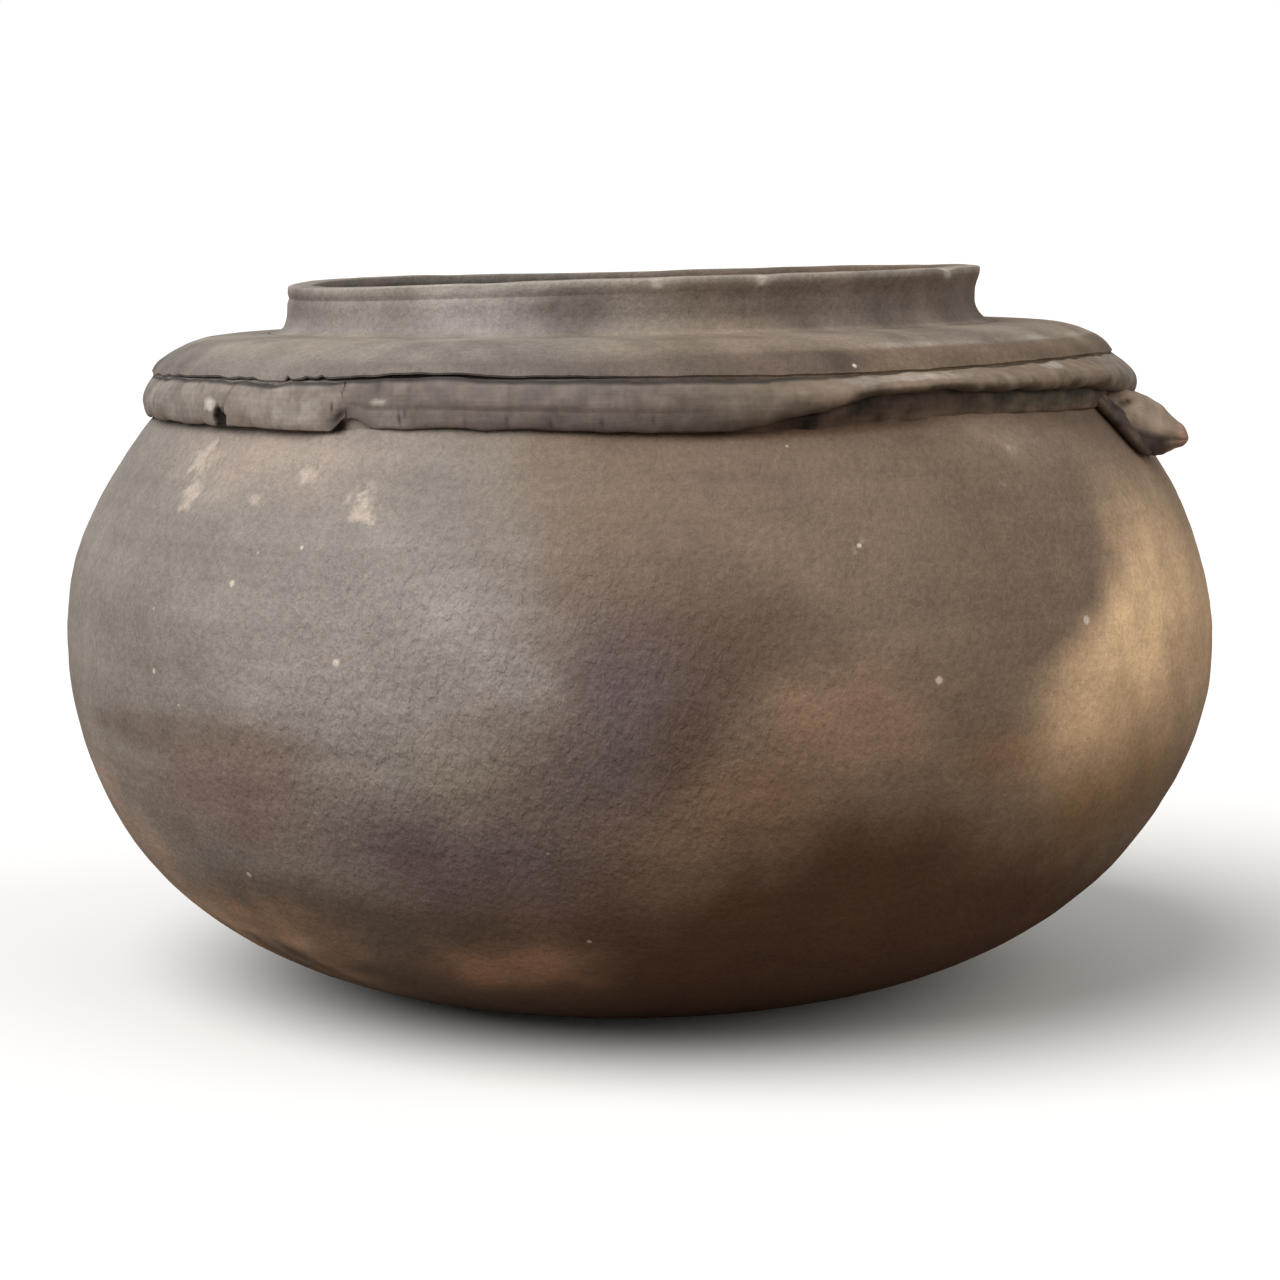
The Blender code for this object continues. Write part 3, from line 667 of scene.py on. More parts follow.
def makeBelly(finish):
    top = pot["ledgeUnder"]
    foot = pot["seam"] - pot["slant"]
    shelf = pot["shelf"]
    seat = line((pot["seat"], top), (pot["seat"], shelf), (shoulderLine(shelf), shelf))
    rise = np.linspace(shelf, pot["bellyHeight"], 60)
    drop = np.linspace(pot["bellyHeight"], pot["seam"], 20)
    outRadius = np.concatenate((shoulderLine(rise), bowlLine(drop)))
    outside = np.stack((outRadius, np.concatenate((rise, drop))), -1)
    up = np.linspace(foot, pot["bellyHeight"], 12)
    back = np.linspace(pot["bellyHeight"], shelf, 40)
    slope = np.hypot(1, np.gradient(shoulderLine(back), back))
    inRadius = np.concatenate((bowlLine(up, pot["wall"]), shoulderLine(back) - pot["wall"] * slope))
    inside = np.stack((inRadius, np.concatenate((up, back))), -1)
    throat = line(inside[-1], (pot["seat"] - pot["wall"], top + pot["slant"]), (pot["seat"], top))
    lute = np.stack((outside[-1], inside[0]))
    outline = profile((seat, 0.0013), (outside[:-3], pot["grain"]), (outside[-4:], 0.0003),
                      (lute, pot["wall"]), (inside, pot["innerGrain"]), (throat, pot["innerGrain"]))
    piece = lathe("belly", outline[:-1], True)
    handShape(piece, shelfRise)
    finishPiece(piece, "belly_wall", finish, clay["sharp"])


ledge = {
    "overhang": 0.0003,
    # its line from the edge inwards and up, in mm
    "brow": ((0, 0.5), (0.6, 1.6), (2.0, 3.3), (5.2, 5.5), (9.6, 7.6), (14.6, 9.1), (20, 9.6), (33, 10)),
    "ripple": (0.00005, 0.00012, 0.009),    # of the edge: depth, what is added at the left, pitch
    # angle, width and height
    "notches": ((-40.4, 0.40, 0.0014), (-37.6, 0.5, 0.0005), (-35.4, 0.4, 0.0006), (-46.5, 0.6, 0.0004)),
}


def ledgeEdge(angle, radius, height):    # the wavy lower edge and its torn notches
    low = 1 - eased(height, pot["ledgeUnder"] + 0.001, pot["ledgeTop"] - 0.001)
    low = low * eased(radius, pot["seat"] - 0.004, pot["seat"])
    depth, more, pitch = ledge["ripple"]
    small = depth + more * toRight(-angle, 10, 40)
    rise = edgeRise("ledge", angle) + small * ripples(fromPolar(angle, pot["seat"], 0.0), pitch, 22)
    for at, width, tall in ledge["notches"]:
        rise = rise + tall * dent(angle, at, width)
    return radius, height + rise * low


def makeLedge(finish):
    edge = pot["seat"] + ledge["overhang"]
    step = pot["ledgeTop"] - 0.002
    under = pot["ledgeUnder"] + pot["slant"]
    foot = pot["neckRadius"] + neck["flare"]
    brow = smoothRoute(ledge["brow"], 60)[::-1] * (-0.001, 0.001) + (edge, pot["ledgeUnder"])
    brow[0] = (foot, pot["ledgeTop"])
    chin = brow[-1][1]
    nose = arc((pot["seat"], chin), (ledge["overhang"], chin - pot["ledgeUnder"]), 0, -90, 12)
    top = line((pot["neckInner"], step), (foot, step), brow[0])
    below = line(nose[-1], (pot["seat"] - pot["wall"], under), (pot["neckInner"], under), top[0])
    outline = profile((top, 0.002), (brow, 0.0008), (nose, 0.0005), (below, pot["innerGrain"]))
    piece = lathe("ledge", outline[:-1], True)
    handShape(piece, ledgeEdge)
    finishPiece(piece, "shoulder_ledge", finish, clay["sharp"])


neck = {
    "flare": 0.0062,
    "fillet": 0.0060,
    "lipHeight": 0.0042,
    "overhang": 0.0013,
    "crown": 0.0005,             # rounding of the lip's top
    "wave": 0.00008,             # rise and fall of the lip
    "warp": 2.4,                 # the rim's left side is turned up at the back
    "groove": 0.0005,            # line under the lip, at the left
    # angle, width in degrees and depth
    "chips": ((3.7, 2.6, 0.0004), (20.2, 3.2, 0.0004), (60.5, 3.6, 0.0006), (140, 2.4, 0.0007),
              (-118, 3.0, 0.0008)),
}


def neckShape(angle, radius, height):    # drawn in at the right, straight at the left, out of round
    seam = pot["rim"] - neck["lipHeight"]
    spots = fromPolar(angle, radius, 0.0)
    left = 1 - eased(np.sin(np.radians(angle)), -0.6, 0.5)
    share = np.clip((height - pot["ledgeTop"]) / (pot["rim"] - pot["ledgeTop"]), 0, 1)
    outer = eased(radius, pot["neckInner"] + 0.003, pot["neckRadius"])
    trumpet = eased(height, pot["rim"] - 0.0068, pot["rim"] - 0.0016)
    spread = neck["overhang"] * (trumpet + (0.8 - trumpet) * left) * eased(share, 0, 0.3)
    groove = neck["groove"] * left * dent(height, seam, 0.0010)
    warp = neck["warp"] * np.clip(-spots[..., 0], 0, None) ** 2 * spots[..., 1]
    wide = 0.00030 * share * ripples(fromPolar(angle, pot["neckRadius"], 0.0), 0.16, 8)
    return radius + (spread - groove) * outer + wide, height + share * warp


def lipShape(angle, radius, height):    # wavy lip with worn chips
    spots = fromPolar(angle, pot["neckRadius"], 0.0)
    top = eased(height, pot["rim"] - neck["lipHeight"], pot["rim"])
    height = height + neck["wave"] * top * (ripples(spots, 0.07, 9) + 0.6 * ripples(spots, 0.018, 10))
    outer = eased(radius, pot["neckRadius"] - 0.004, pot["neckRadius"])
    for at, width, depth in neck["chips"]:
        bite = depth * dent(angle, at, width / 2) ** 0.5 * top * outer
        radius = radius - bite
        height = height - bite * 0.7
    return radius, height


def makeNeck(finish):
    seam = pot["rim"] - neck["lipHeight"]
    foot = pot["neckRadius"] + neck["flare"]
    bottom = pot["ledgeTop"] - 0.002
    edge = pot["neckRadius"]
    wall = line((edge, seam), (edge, pot["ledgeTop"] + neck["fillet"]))
    fillet = arc((foot, pot["ledgeTop"] + neck["fillet"]), (neck["flare"], neck["fillet"]), 180, 270, 24)
    below = line(fillet[-1], (foot, bottom), (pot["neckInner"], bottom))
    inside = line((pot["neckInner"], bottom), (pot["neckInner"], seam))
    top = line((pot["neckInner"], seam), (edge, seam))
    outline = profile((wall, 0.0009), (fillet, 0.0007), (below, 0.002), (inside, 0.002), (top, 0.003))
    piece = lathe("collar", outline[:-1], True)
    handShape(piece, neckShape)
    finishPiece(piece, "neck_collar", finish, clay["sharp"])

    half = (edge - pot["neckInner"]) / 2
    crown = arc((0, pot["rim"] - neck["crown"]), (1, neck["crown"]), 180, 0, 60)
    crown[:, 0] = edge - half + half * np.sign(crown[:, 0]) * np.abs(crown[:, 0]) ** 0.5
    face = line(crown[-1], (edge, seam))
    under = line(face[-1], (pot["neckInner"], seam), crown[0])
    outline = profile((crown, 0.0005), (face, 0.0005), (under, 0.0015))
    piece = lathe("lip", outline[:-1], True)
    handShape(piece, lipShape, neckShape)
    finishPiece(piece, "rim_lip", finish, 55)


# Hide strap

strap = {
    "fit": 0.0003,
    "thickness": 0.004,
    "skived": 0.0022,
    "outerEnd": -32.0,
    "lap": 17.0,
    "skive": 8.0,
    "twist": (7.0, 29.0),
    "tail": 74.0,
    "unfold": ((30.0, 50.0, 0.24), (60.0, 86.0, 0.76)),    # where the roll comes down, and how far
    "rollStop": (125.0, 195.0),
    "fold": 0.0067,
    "rollDepth": 0.0075,
    "sides": 96,
    # from the outer end all round to the inner one: from, to and step, in degrees
    "stretches": ((-32, -57, 0.15), (-57, -100, 0.35), (-100, -260, 1.0), (-260, -394, 0.35),
                  (-394, -409, 0.5)),
    "slit": (-50.7, 0.0036, 0.0022, 0.0029),   # angle, half width, height over the foot, half height
    "slitDepth": 0.0016,
    "wrinkle": 0.00007,
    "step": 0.0006,                            # the lower part lies back right of the lap
    "gap": 0.0005,                             # under the ledge, widest at the front
    "rollFoot": (0.0003, 0.016),               # unevenness of the roll's foot: depth and pitch
    "tear": (0.0034, -34.2, -31.8),            # torn corner of the outer end: height, from, to
    "cut": (0.0028, -31.5, -28),               # the inner layer is cut away there
}

creases = (        # angle, depth, width and slant in degrees
    (-49.6, 0.00045, 0.45, 2.6), (-60.5, 0.00018, 0.6, -1), (-45.5, 0.00016, 0.5, 1),
    (-42, 0.00018, 0.4, 0), (-37.5, 0.00018, 0.4, -1), (-27.5, 0.00022, 0.35, 0),
    (-25.8, 0.00022, 0.3, 0.5), (-23.7, 0.00026, 0.35, 0), (-17, 0.00016, 0.4, 1),
    (-12.5, 0.00020, 0.35, 0), (-8, 0.00018, 0.4, -1), (0.5, 0.00020, 0.4, 0), (5, 0.00014, 0.4, 1),
    (-73, 0.0002, 0.6, 1), (-84, 0.0002, 0.7, -1), (150, 0.0003, 0.8, 1), (-140, 0.0003, 0.8, -1),
)

hideTints = {
    "strap": tone(118, 108, 102),
    "dusty": tone(141, 131, 123),
    "brown": tone(122, 107, 92),
    "grey": tone(139, 133, 126),
    "rub": tone(206, 198, 189),
    # painted shade in the slit, hollows, crevice and under the ledge; also the cracks
    "hole": tone(22, 17, 14),
    # the strip's own colour, darkened as painted shade under the roll
    "strip": tone(86, 72, 64),
    "mossy": tone(88, 83, 72),
    "tail": tone(146, 128, 111),
    "shade": tone(76, 68, 68),
    "crookShade": tone(66, 54, 47),             # painted shade between the tail and the shoulder
    "tip": tone(166, 124, 108),
}

strapRuns = (      # tints along the strap: strength, side, and degrees where it starts and is full
    ("dusty", 0.90, -1, 28, 38), ("grey", 0.60, -1, 52, 60),
    ("brown", 0.95, 1, -8, 24), ("grey", 0.60, 1, 60, 76),
)

rubs = (           # pale rubs, the one at 53 degrees a painted highlight: angle, share of the height, half width in degrees, half share, strength
    (-52.9, 0.46, 1.3, 0.17, 1.0), (-39.8, 0.36, 2.4, 0.26, 0.35), (-27.4, 0.55, 1.2, 0.08, 0.85),
    # the rub at 53 degrees is a painted highlight on the roll
    (-46, 0.55, 1.6, 0.3, 0.22), (-36, 0.4, 1.6, 0.3, 0.25), (53.0, 0.88, 2.2, 0.14, 0.40),
    (30, 0.8, 9, 0.2, 0.25), (160, 0.5, 4, 0.3, 0.3), (-110, 0.5, 5, 0.3, 0.3),
)

nicks = (          # short cracks in the lower part: angle, share of the height, strength
    (-25.0, 0.22, 0.6), (-24.2, 0.30, 0.4), (-23.3, 0.20, 0.6), (-17.5, 0.12, 0.4), (-13.0, 0.18, 0.6),
    (-8.6, 0.16, 0.6), (-3.2, 0.2, 0.5), (2.0, 0.25, 0.4), (-33.5, 0.45, 0.5), (-45.0, 0.1, 0.4),
    (120, 0.2, 0.6), (-120, 0.2, 0.6),
)


def foldShare(place):
    down = sum(part * eased(place, start, stop) for start, stop, part in strap["unfold"])
    return eased(place, *strap["twist"]) * (1 - down)


def rollShare(place):
    return eased(place, *strap["twist"]) * (1 - eased(place, *strap["rollStop"]))


def section(sides, squareness):    # a rounded section as shares: outwards and upwards, from -1 to 1
    turn = math.tau * (np.arange(sides) + 0.5) / sides
    power = 2 / np.asarray(squareness)[..., None]
    out = np.sign(np.cos(turn)) * np.abs(np.cos(turn)) ** power
    up = np.sign(np.sin(turn)) * np.abs(np.sin(turn)) ** power
    return out, up


def roundEnds(shares, gap, reach):    # shrinks a strip's section in the last stretch before each end
    near = np.clip(gap / reach, 0.0, 1)
    return shares * np.sqrt(np.clip(1 - (1 - near) ** 2, 0.02, 1))


hide = {
    "pitch": 0.0022,             # of the fine relief, and its depth
    "depth": 0.00012,
    "sharp": 60,
}


def wrapHide(name, rings, along, across, colours, node, finish):
    piece, ring, side = sleeve(name, slumped(rings))
    setValues(piece, "along", along[ring])
    setValues(piece, "across", across[ring, side])
    setColours(piece, colours[ring, side])
    roughen(piece, hide["pitch"], hide["depth"])
    finishPiece(piece, node, finish, hide["sharp"])


def strapColours(spots, turns, share, rolled, outer, crease, gap, worn):
    rough = layered(spots, 0.011, 35)
    colours = plainColour(hideTints["strap"], spots)
    for tint, strength, side, start, full in strapRuns:
        colours = mixed(colours, hideTints[tint], strength * toRight(side * turns, start, full))
    colours = dimmed(colours, 1 - 0.14 * dent(turns, 11, 7))
    for at, level, wide, tall, strength in rubs:
        spot = (((turns - at) / wide) ** 4 + ((share - level) / tall) ** 4) ** 0.25 + 0.20 * worn
        colours = mixed(colours, hideTints["rub"], strength * (1 - eased(spot, 0.4, 1.1)))
    low = 1 - eased(share, 0.08, 0.48 + 0.22 * eased(turns, -6, 6))    # the lower part is darker
    low = low * eased(turns, -32, -30) * (1 - eased(turns, 10, 22))
    colours = dimmed(colours, 1 - low * (0.10 + 0.24 * eased(turns, -24, -2)))
    pale = 0.7 * dent(turns, -26, 5) * (1 - eased(share, 0.40, 0.60)) * (1 - outer)    # painted light beside the lap, lifting the shade of the lap's corner
    colours = mixed(colours, hideTints["grey"], pale)
    rollUnderShade = rolled[:, None] * (1 - 0.6 * eased(turns, 56, 72))    # painted shade on the roll's underside
    colours = dimmed(colours, 1 - 0.62 * (1 - eased(share + 0.09 * rough, 0.0, 0.55)) * rollUnderShade)
    # painted shadow along the roll's lower edge
    colours = dimmed(colours, 1 - 0.35 * (1 - eased(share, 0.0, 0.28)) * dent(turns, 16, 8))
    # painted shade in the creases, with random tone
    colours = dimmed(colours, np.clip(1 - 600 * crease + 0.06 * rough + 0.05 * worn, 0.4, 1.4))
    # painted shade in the slit
    colours = mixed(colours, hideTints["hole"], outer * (1 - eased(gap, 0.85, 1.25)))
    right = eased(turns, 16, 30)
    shadeUnderLedge = eased(share, 0.89, 0.97) * (1 - right) + eased(share, 0.97, 0.995) * right    # painted shadow under the ledge
    shadeUnderLedge = shadeUnderLedge * (1 - eased(turns, 46, 60)) * (1 - eased(-turns, *pot["back"]))
    colours = mixed(colours, hideTints["hole"], 0.80 * shadeUnderLedge)
    for at, level, strength in nicks:
        crack = dent(turns, at, 0.20) * dent(share, level, 0.12)
        colours = mixed(colours, hideTints["hole"], strength * crack * (1 + 0.3 * worn))
    # painted shadow in the hollow under the torn corner
    torn = dent(turns, -32.6, 1.2) * dent(share, 0.18, 0.17)
    return mixed(colours, hideTints["hole"], 0.9 * torn)


def makeStrap(finish):
    runs = [np.arange(start, stop, -step) for start, stop, step in strap["stretches"]]
    angle = np.concatenate(runs + [[strap["stretches"][-1][1]]])
    lapped = strap["outerEnd"] - strap["lap"]
    place = (angle - lapped) % 360 + lapped    # from the inner end of the lap all round, for the roll
    where = (angle + 180) % 360 - 180          # from back to back, for the marks
    first = angle > -200
    rolled = rollShare(place)
    over = 1 - eased(-angle, -lapped, strap["skive"] - lapped)
    under = eased(-angle, 360 - strap["outerEnd"] - strap["skive"], 360 - strap["outerEnd"])
    arcs = np.radians(angle[0] - angle) * pot["seat"]
    thick = strap["thickness"] + (strap["skived"] - strap["thickness"]) * np.maximum(over, under)
    thick = thick + (strap["rollDepth"] - strap["thickness"]) * rolled
    thick = thick * (0.08 + 0.92 * eased(arcs, 0, 0.016))
    thick = roundEnds(thick, np.minimum(arcs, arcs[-1] - arcs), 0.0008)
    lift = over * (strap["skived"] + strap["fit"] * eased(arcs, 0.001, 0.012))
    top = pot["ledgeUnder"] - strap["fit"] + edgeRise("ledge", where)
    top = top - strap["gap"] * eased(where, -60, -30) * (1 - eased(where, 10, 30))
    foot = pot["shelf"] + strap["fit"] + edgeRise("strapFoot", where) + strap["fold"] * foldShare(place)
    depth, pitch = strap["rollFoot"]
    foot = foot + depth * rolled * ripples(fromPolar(where, pot["seat"], 0.0), pitch, 34)
    tall, start, stop = strap["tear"]
    foot = foot + np.where(first, tall * eased(angle, start, stop), 0)
    tall, start, stop = strap["cut"]
    foot = foot + np.where(first, 0, tall * (1 - eased(where, start, stop)))
    rounded = np.maximum(rolled, toRight(-where, 45, 75))
    out, up = section(strap["sides"], 2.9 - 0.6 * rounded)
    share = (up + 1) / 2
    bent = (0.45 + 0.50 * rounded)[:, None]
    belly = 1 - bent * np.clip((up + 0.5) / 1.5, 0, 1) ** 2.4    # fullest low down
    ragged = 0.25 * np.sin(7 * share) + 0.08 * np.sin(23 * share + 1)
    turns = where[:, None] + ragged * (1 - eased(arcs, 0, 0.010))[:, None]    # the outer end's edge
    height = foot[:, None] + share * (top - foot)[:, None]
    radius = pot["seat"] + strap["fit"] + belly * (lift[:, None] + thick[:, None] * (1 + out) / 2)

    spots = fromPolar(turns, radius, height)
    worn = layered(spots, 0.006, 37, 3)
    crease = np.zeros_like(share)
    for at, depth, width, slant in creases:
        crease += depth * dent(turns, at + slant * (share - 0.5), width) * eased(share, 0.0, 0.3)
    stepped = (1 - eased(share, 0.40, 0.47)) * eased(turns, -32, -30) * (1 - eased(turns, -4, 14))
    at, half, lifted, tall = strap["slit"]
    gap = np.hypot(np.radians(turns - at) * pot["seat"] / half, (height - foot[:, None] - lifted) / tall)
    gap = gap + 0.10 * worn
    hole = (1 - eased(gap, 0.7, 1.1)) * first[:, None]
    ridge = eased(turns, 40, 52) * (1 - eased(turns, 53.4, 54.4)) * eased(share, 0.4, 0.7)
    wrinkles = ripples(spots * (1, 1, 0.5), 0.0050, 31) + 0.7 * ripples(spots, 0.014, 32)
    relief = strap["wrinkle"] * wrinkles + 0.0004 * ridge - crease
    relief = relief - strap["step"] * stepped - strap["slitDepth"] * hole
    radius = radius + relief * np.clip(out, 0, 1) ** 0.5
    height = height + 0.00014 * ripples(spots * (1, 1, 0.1), 0.008, 33) * np.abs(up) ** 3
    colours = strapColours(spots, turns, share, rolled, first[:, None], crease, gap, worn)
    rings = fromPolar(turns, radius, height)
    wrapHide("strap", rings, arcs, height, colours, "strap_band", finish)


strip = {
    "thickness": 0.0034,
    "flush": 0.0013,             # thickness at its foot, where it is level with the shoulder
    "proud": 0.0012,             # and what it stands out further right
    "start": 9.5,
    "stop": 76.0,
    "step": 0.3,
    "sides": 40,
    "fibre": 0.00012,
}


def makeStrip(finish):    # the strip tucked under the roll, dark in its own colour and in painted shade
    place = np.arange(strip["start"], strip["stop"], strip["step"])
    rise = edgeRise("strapFoot", place)
    foot = pot["shelf"] - 0.0004 + rise
    top = pot["shelf"] + 0.0012 + rise + strap["fold"] * foldShare(place)
    deep = 0.35 + 0.65 * eased(place, strip["start"] - 1, strip["start"] + 8)
    deep = strip["thickness"] * deep[:, None]
    flush = (strip["flush"] + strip["proud"] * eased(place, 34, 48))[:, None]
    out, up = section(strip["sides"], np.full(len(place), 2.5))
    share = (up + 1) / 2
    thick = flush + (deep - flush) * eased(share, 0, 0.7)    # a wedge that comes out of the shoulder
    radius = pot["seat"] - 0.0004 + (out + 1) / 2 * thick
    height = foot[:, None] + share * (top - foot)[:, None]
    turns = np.broadcast_to(place[:, None], share.shape)
    spots = fromPolar(turns, radius, height)
    relief = ripples(spots * (0.2, 0.2, 1), 0.0022, 41) + 1.6 * ripples(spots, 0.011, 42)
    radius = radius + strip["fibre"] * relief * np.clip(out, 0, 1) ** 0.5
    rough = layered(spots, 0.010, 45)
    colours = plainColour(hideTints["strip"], spots)
    colours = mixed(colours, hideTints["mossy"], 0.7 * eased(turns, 34, 44) * (1 - eased(turns, 58, 66)))
    colours = mixed(colours, clayTints["right"], 0.62 * (1 - eased(share + 0.05 * rough, 0.0, 0.55)))
    shaded = 0.22 * eased(share, 0.3, 0.9) + 0.30 * (1 - eased(turns, 16, 32))
    colours = dimmed(colours, 1 + 0.18 * rough - shaded)
    rings = fromPolar(turns, radius, height)
    along = np.radians(place) * pot["seat"]
    wrapHide("tuckedStrip", rings, along, height, colours, "under_strip", finish)


hitch = {
    "width": 0.0084,
    "thickness": 0.0036,
    "rings": 72,
    "sides": 40,
    "run": 0.026,                # its length
    # aside from the tail's middle and up from the shelf, in mm
    "route": ((-18.5, 6.0), (-17.2, 3.0), (-15.4, -0.5), (-13.2, -4.2), (-11.0, -8.0), (-8.2, -11.6),
              (-4.2, -14.2)),
}

tail = {
    "rings": 72,
    "sides": 56,
    # reach from the seat, middle height, half height, half widths to back and front, all in mm
    "stations": ((0.0, 0.0, 6.0, 6.5, 17.0), (4.0, -2.9, 7.5, 8.0, 16.5), (8.0, -4.9, 8.5, 8.4, 14.5),
                 (12.0, -6.1, 8.1, 7.8, 11.5), (16.0, -7.4, 6.4, 6.5, 8.0), (20.0, -8.7, 4.0, 4.8, 4.8),
                 (22.2, -9.4, 2.8, 3.5, 3.5), (23.3, -9.7, 0.6, 0.9, 0.9)),
}


def makeHitch(finish):    # a turn of hide beside the tail's root and in below it
    route = smoothRoute(hitch["route"], hitch["rings"]) * 0.001
    height = pot["shelf"] + route[:, 1]
    angle = strap["tail"] + np.degrees(route[:, 0] / pot["shoulderRadius"])
    slope = -np.gradient(shoulderLine(height), height)
    outward = fromPolar(angle, np.ones(len(angle)), slope)
    outward /= np.linalg.norm(outward, axis=1)[:, None]
    spots = fromPolar(angle, shoulderLine(height), height) + outward * hitch["thickness"] * 0.40
    aside = np.cross(np.gradient(spots, axis=0), outward)
    aside /= np.linalg.norm(aside, axis=1)[:, None]
    out, up = section(hitch["sides"], np.full(len(angle), 2.1))
    share = np.linspace(0, 1, len(angle))
    swell = 0.85 + 0.3 * np.sin(math.pi * share) - 0.3 * eased(share, 0.7, 1)
    swell = roundEnds(swell, np.minimum(share, 1 - share) * hitch["run"], 0.002)[:, None, None]
    rings = spots[:, None] + outward[:, None] * (out * hitch["thickness"] / 2)[..., None] * swell
    rings = rings + aside[:, None] * (up * hitch["width"] / 2)[..., None] * swell
    bumps = 0.00025 * ripples(rings, 0.007, 51) + 0.00010 * ripples(rings, 0.003, 52)
    rings = rings + outward[:, None] * (bumps * np.clip(out, 0, 1))[..., None]
    # painted shade on the hitch's lower part and left flank
    crookShade = np.maximum(eased(share, 0.18, 0.38)[:, None], 0.7 * eased(up, 0.10, 0.40))
    colours = mixed(plainColour(hideTints["tail"], rings), hideTints["crookShade"], 0.92 * crookShade)
    colours = dimmed(colours, 1 + 0.16 * layered(rings, 0.008, 55))
    across = up * hitch["width"] / 2
    wrapHide("hitch", rings, share * hitch["run"], across, colours, "hitch_turn", finish)


def makeTail(finish):
    reach, level, tall, wide, front = smoothRoute(tail["stations"], tail["rings"]).T * 0.001
    out, up = section(tail["sides"], np.full(len(reach), 2.3))
    share = np.linspace(0, 1, len(reach))[:, None]
    radius = pot["seat"] + np.broadcast_to(reach[:, None], out.shape)
    height = pot["shelf"] + level[:, None] + up * tall[:, None]
    half = np.where(out > 0, front[:, None], wide[:, None])
    across = -out * half * (1 - 0.25 * eased(up, 0.1, 1.0))    # its top is narrower than its belly side
    crevice = dent(up - 1.6 * (share - 0.33), 0.58, 0.09) * dent(share, 0.33, 0.08) * np.clip(out, 0, 1)
    groove = dent(up, -0.35, 0.14) * eased(share, 0.25, 0.45) * np.clip(out, 0, 1)
    across = across + 0.0032 * crevice + 0.0006 * groove
    angle = strap["tail"] + np.degrees(across / (pot["seat"] + 0.012))
    spots = fromPolar(angle, radius, height)
    bumps = 0.00028 * ripples(spots, 0.009, 61) + 0.00010 * ripples(spots, 0.0034, 62)
    height = height + bumps * up
    angle = angle - np.degrees(bumps * out / pot["seat"])
    below = eased(-up, -0.12, 0.28) * (1 - eased(share, 0.72, 0.90))
    colours = plainColour(hideTints["tail"], spots)
    colours = mixed(colours, hideTints["tip"], 0.6 * eased(share, 0.86, 0.97))
    colours = mixed(colours, hideTints["shade"], 0.85 * below)
    # painted shade in the crevice and the groove
    colours = mixed(colours, hideTints["hole"], 0.9 * crevice + 0.25 * groove)
    colours = dimmed(colours, 1 + 0.07 * layered(spots, 0.008, 65))
    rings = fromPolar(angle, radius, height)
    wrapHide("tail", rings, reach, up * tall[:, None], colours, "stub_tail", finish)


# Finishes


class Wire:    # a node's output that can be added, multiplied and so on
    def __init__(self, tree, socket):
        self.tree = tree
        self.socket = socket

    def node(self, kind, settings, sockets, output=0):
        made = self.tree.nodes.new("ShaderNode" + kind)
        for name, value in settings.items():
            setattr(made, name, value)
        for name, value in sockets.items():
            if isinstance(value, Wire):
                self.tree.links.new(value.socket, made.inputs[name])
            else:
                made.inputs[name].default_value = value
        return Wire(self.tree, made.outputs[output])

    def sum(self, operation, first, second):
        return self.node("Math", {"operation": operation}, {0: first, 1: second})

    def __add__(self, other):
        return self.sum("ADD", self, other)

    def __sub__(self, other):
        return self.sum("SUBTRACT", self, other)

    def __rsub__(self, other):
        return self.sum("SUBTRACT", other, self)

    def __mul__(self, other):
        return self.sum("MULTIPLY", self, other)

    __radd__ = __add__
    __rmul__ = __mul__


def newFinish(name):
    finish = bpy.data.materials.new(name)
    finish.use_nodes = True
    tree = finish.node_tree
    shader = tree.nodes["Principled BSDF"]
    place = Wire(tree, tree.nodes.new("ShaderNodeTexCoord").outputs["Object"])
    return finish, tree, shader, place


def stored(place, name, output="Fac"):    # what was written on the points
    return place.node("Attribute", {"attribute_name": name}, {}, output)


def ramp(value, low, high):    # 0 below low, 1 above high, soft between
    settings = {"interpolation_type": "SMOOTHSTEP"}
    return value.node("MapRange", settings, {"Value": value, "From Min": low, "From Max": high})


def noise(place, scale, detail=3.0):    # from about -0.5 to 0.5
    sockets = {"Vector": place, "Scale": scale, "Detail": detail, "Roughness": 0.55}
    return place.node("TexNoise", {}, sockets) - 0.5


def stretched(place, factors):
    return place.node("VectorMath", {"operation": "MULTIPLY"}, {0: place, 1: factors})


def blended(factor, first, second):    # a mix of two colours
    return factor.node("Mix", {"data_type": "RGBA"}, {0: factor, 6: first, 7: second}, 2)


def specks(place, scale, size, chosen):    # scattered grains in some of the cells
    cell = {"Vector": place, "Scale": scale, "Randomness": 1.0}
    near = place.node("TexVoronoi", {}, cell, "Distance")
    lot = place.node("SeparateColor", {}, {"Color": place.node("TexVoronoi", {}, cell, "Color")}, 0)
    return (1 - ramp(near, size * 0.5, size)) * ramp(lot, 1 - chosen, 1.02 - chosen)


def joinUp(tree, shader, colour, light, relief, rough):    # the three varying sockets of a finish
    toned = colour.node("HueSaturation", {}, {"Color": colour, "Value": light})
    bump = relief.node("Bump", {}, {"Height": relief, "Strength": 1.0, "Distance": 0.001})
    tree.links.new(toned.socket, shader.inputs["Base Color"])
    tree.links.new(bump.socket, shader.inputs["Normal"])
    tree.links.new(rough.socket, shader.inputs["Roughness"])


clayLook = {
    "grit": tone(226, 214, 198),
    "scuff": tone(214, 198, 182),
    "mottle": 0.36,
    "streak": 0.32,
    "fine": 0.58,
    "finest": 0.60,
    "dimple": 0.75,              # heights of relief in mm
    "flake": 0.12,
    "grain": 0.22,
    "dust": 0.05,
    "line": 0.10,
    "grains": 0.10,
    "roughness": 0.66,
    "sheen": 0.26,
}

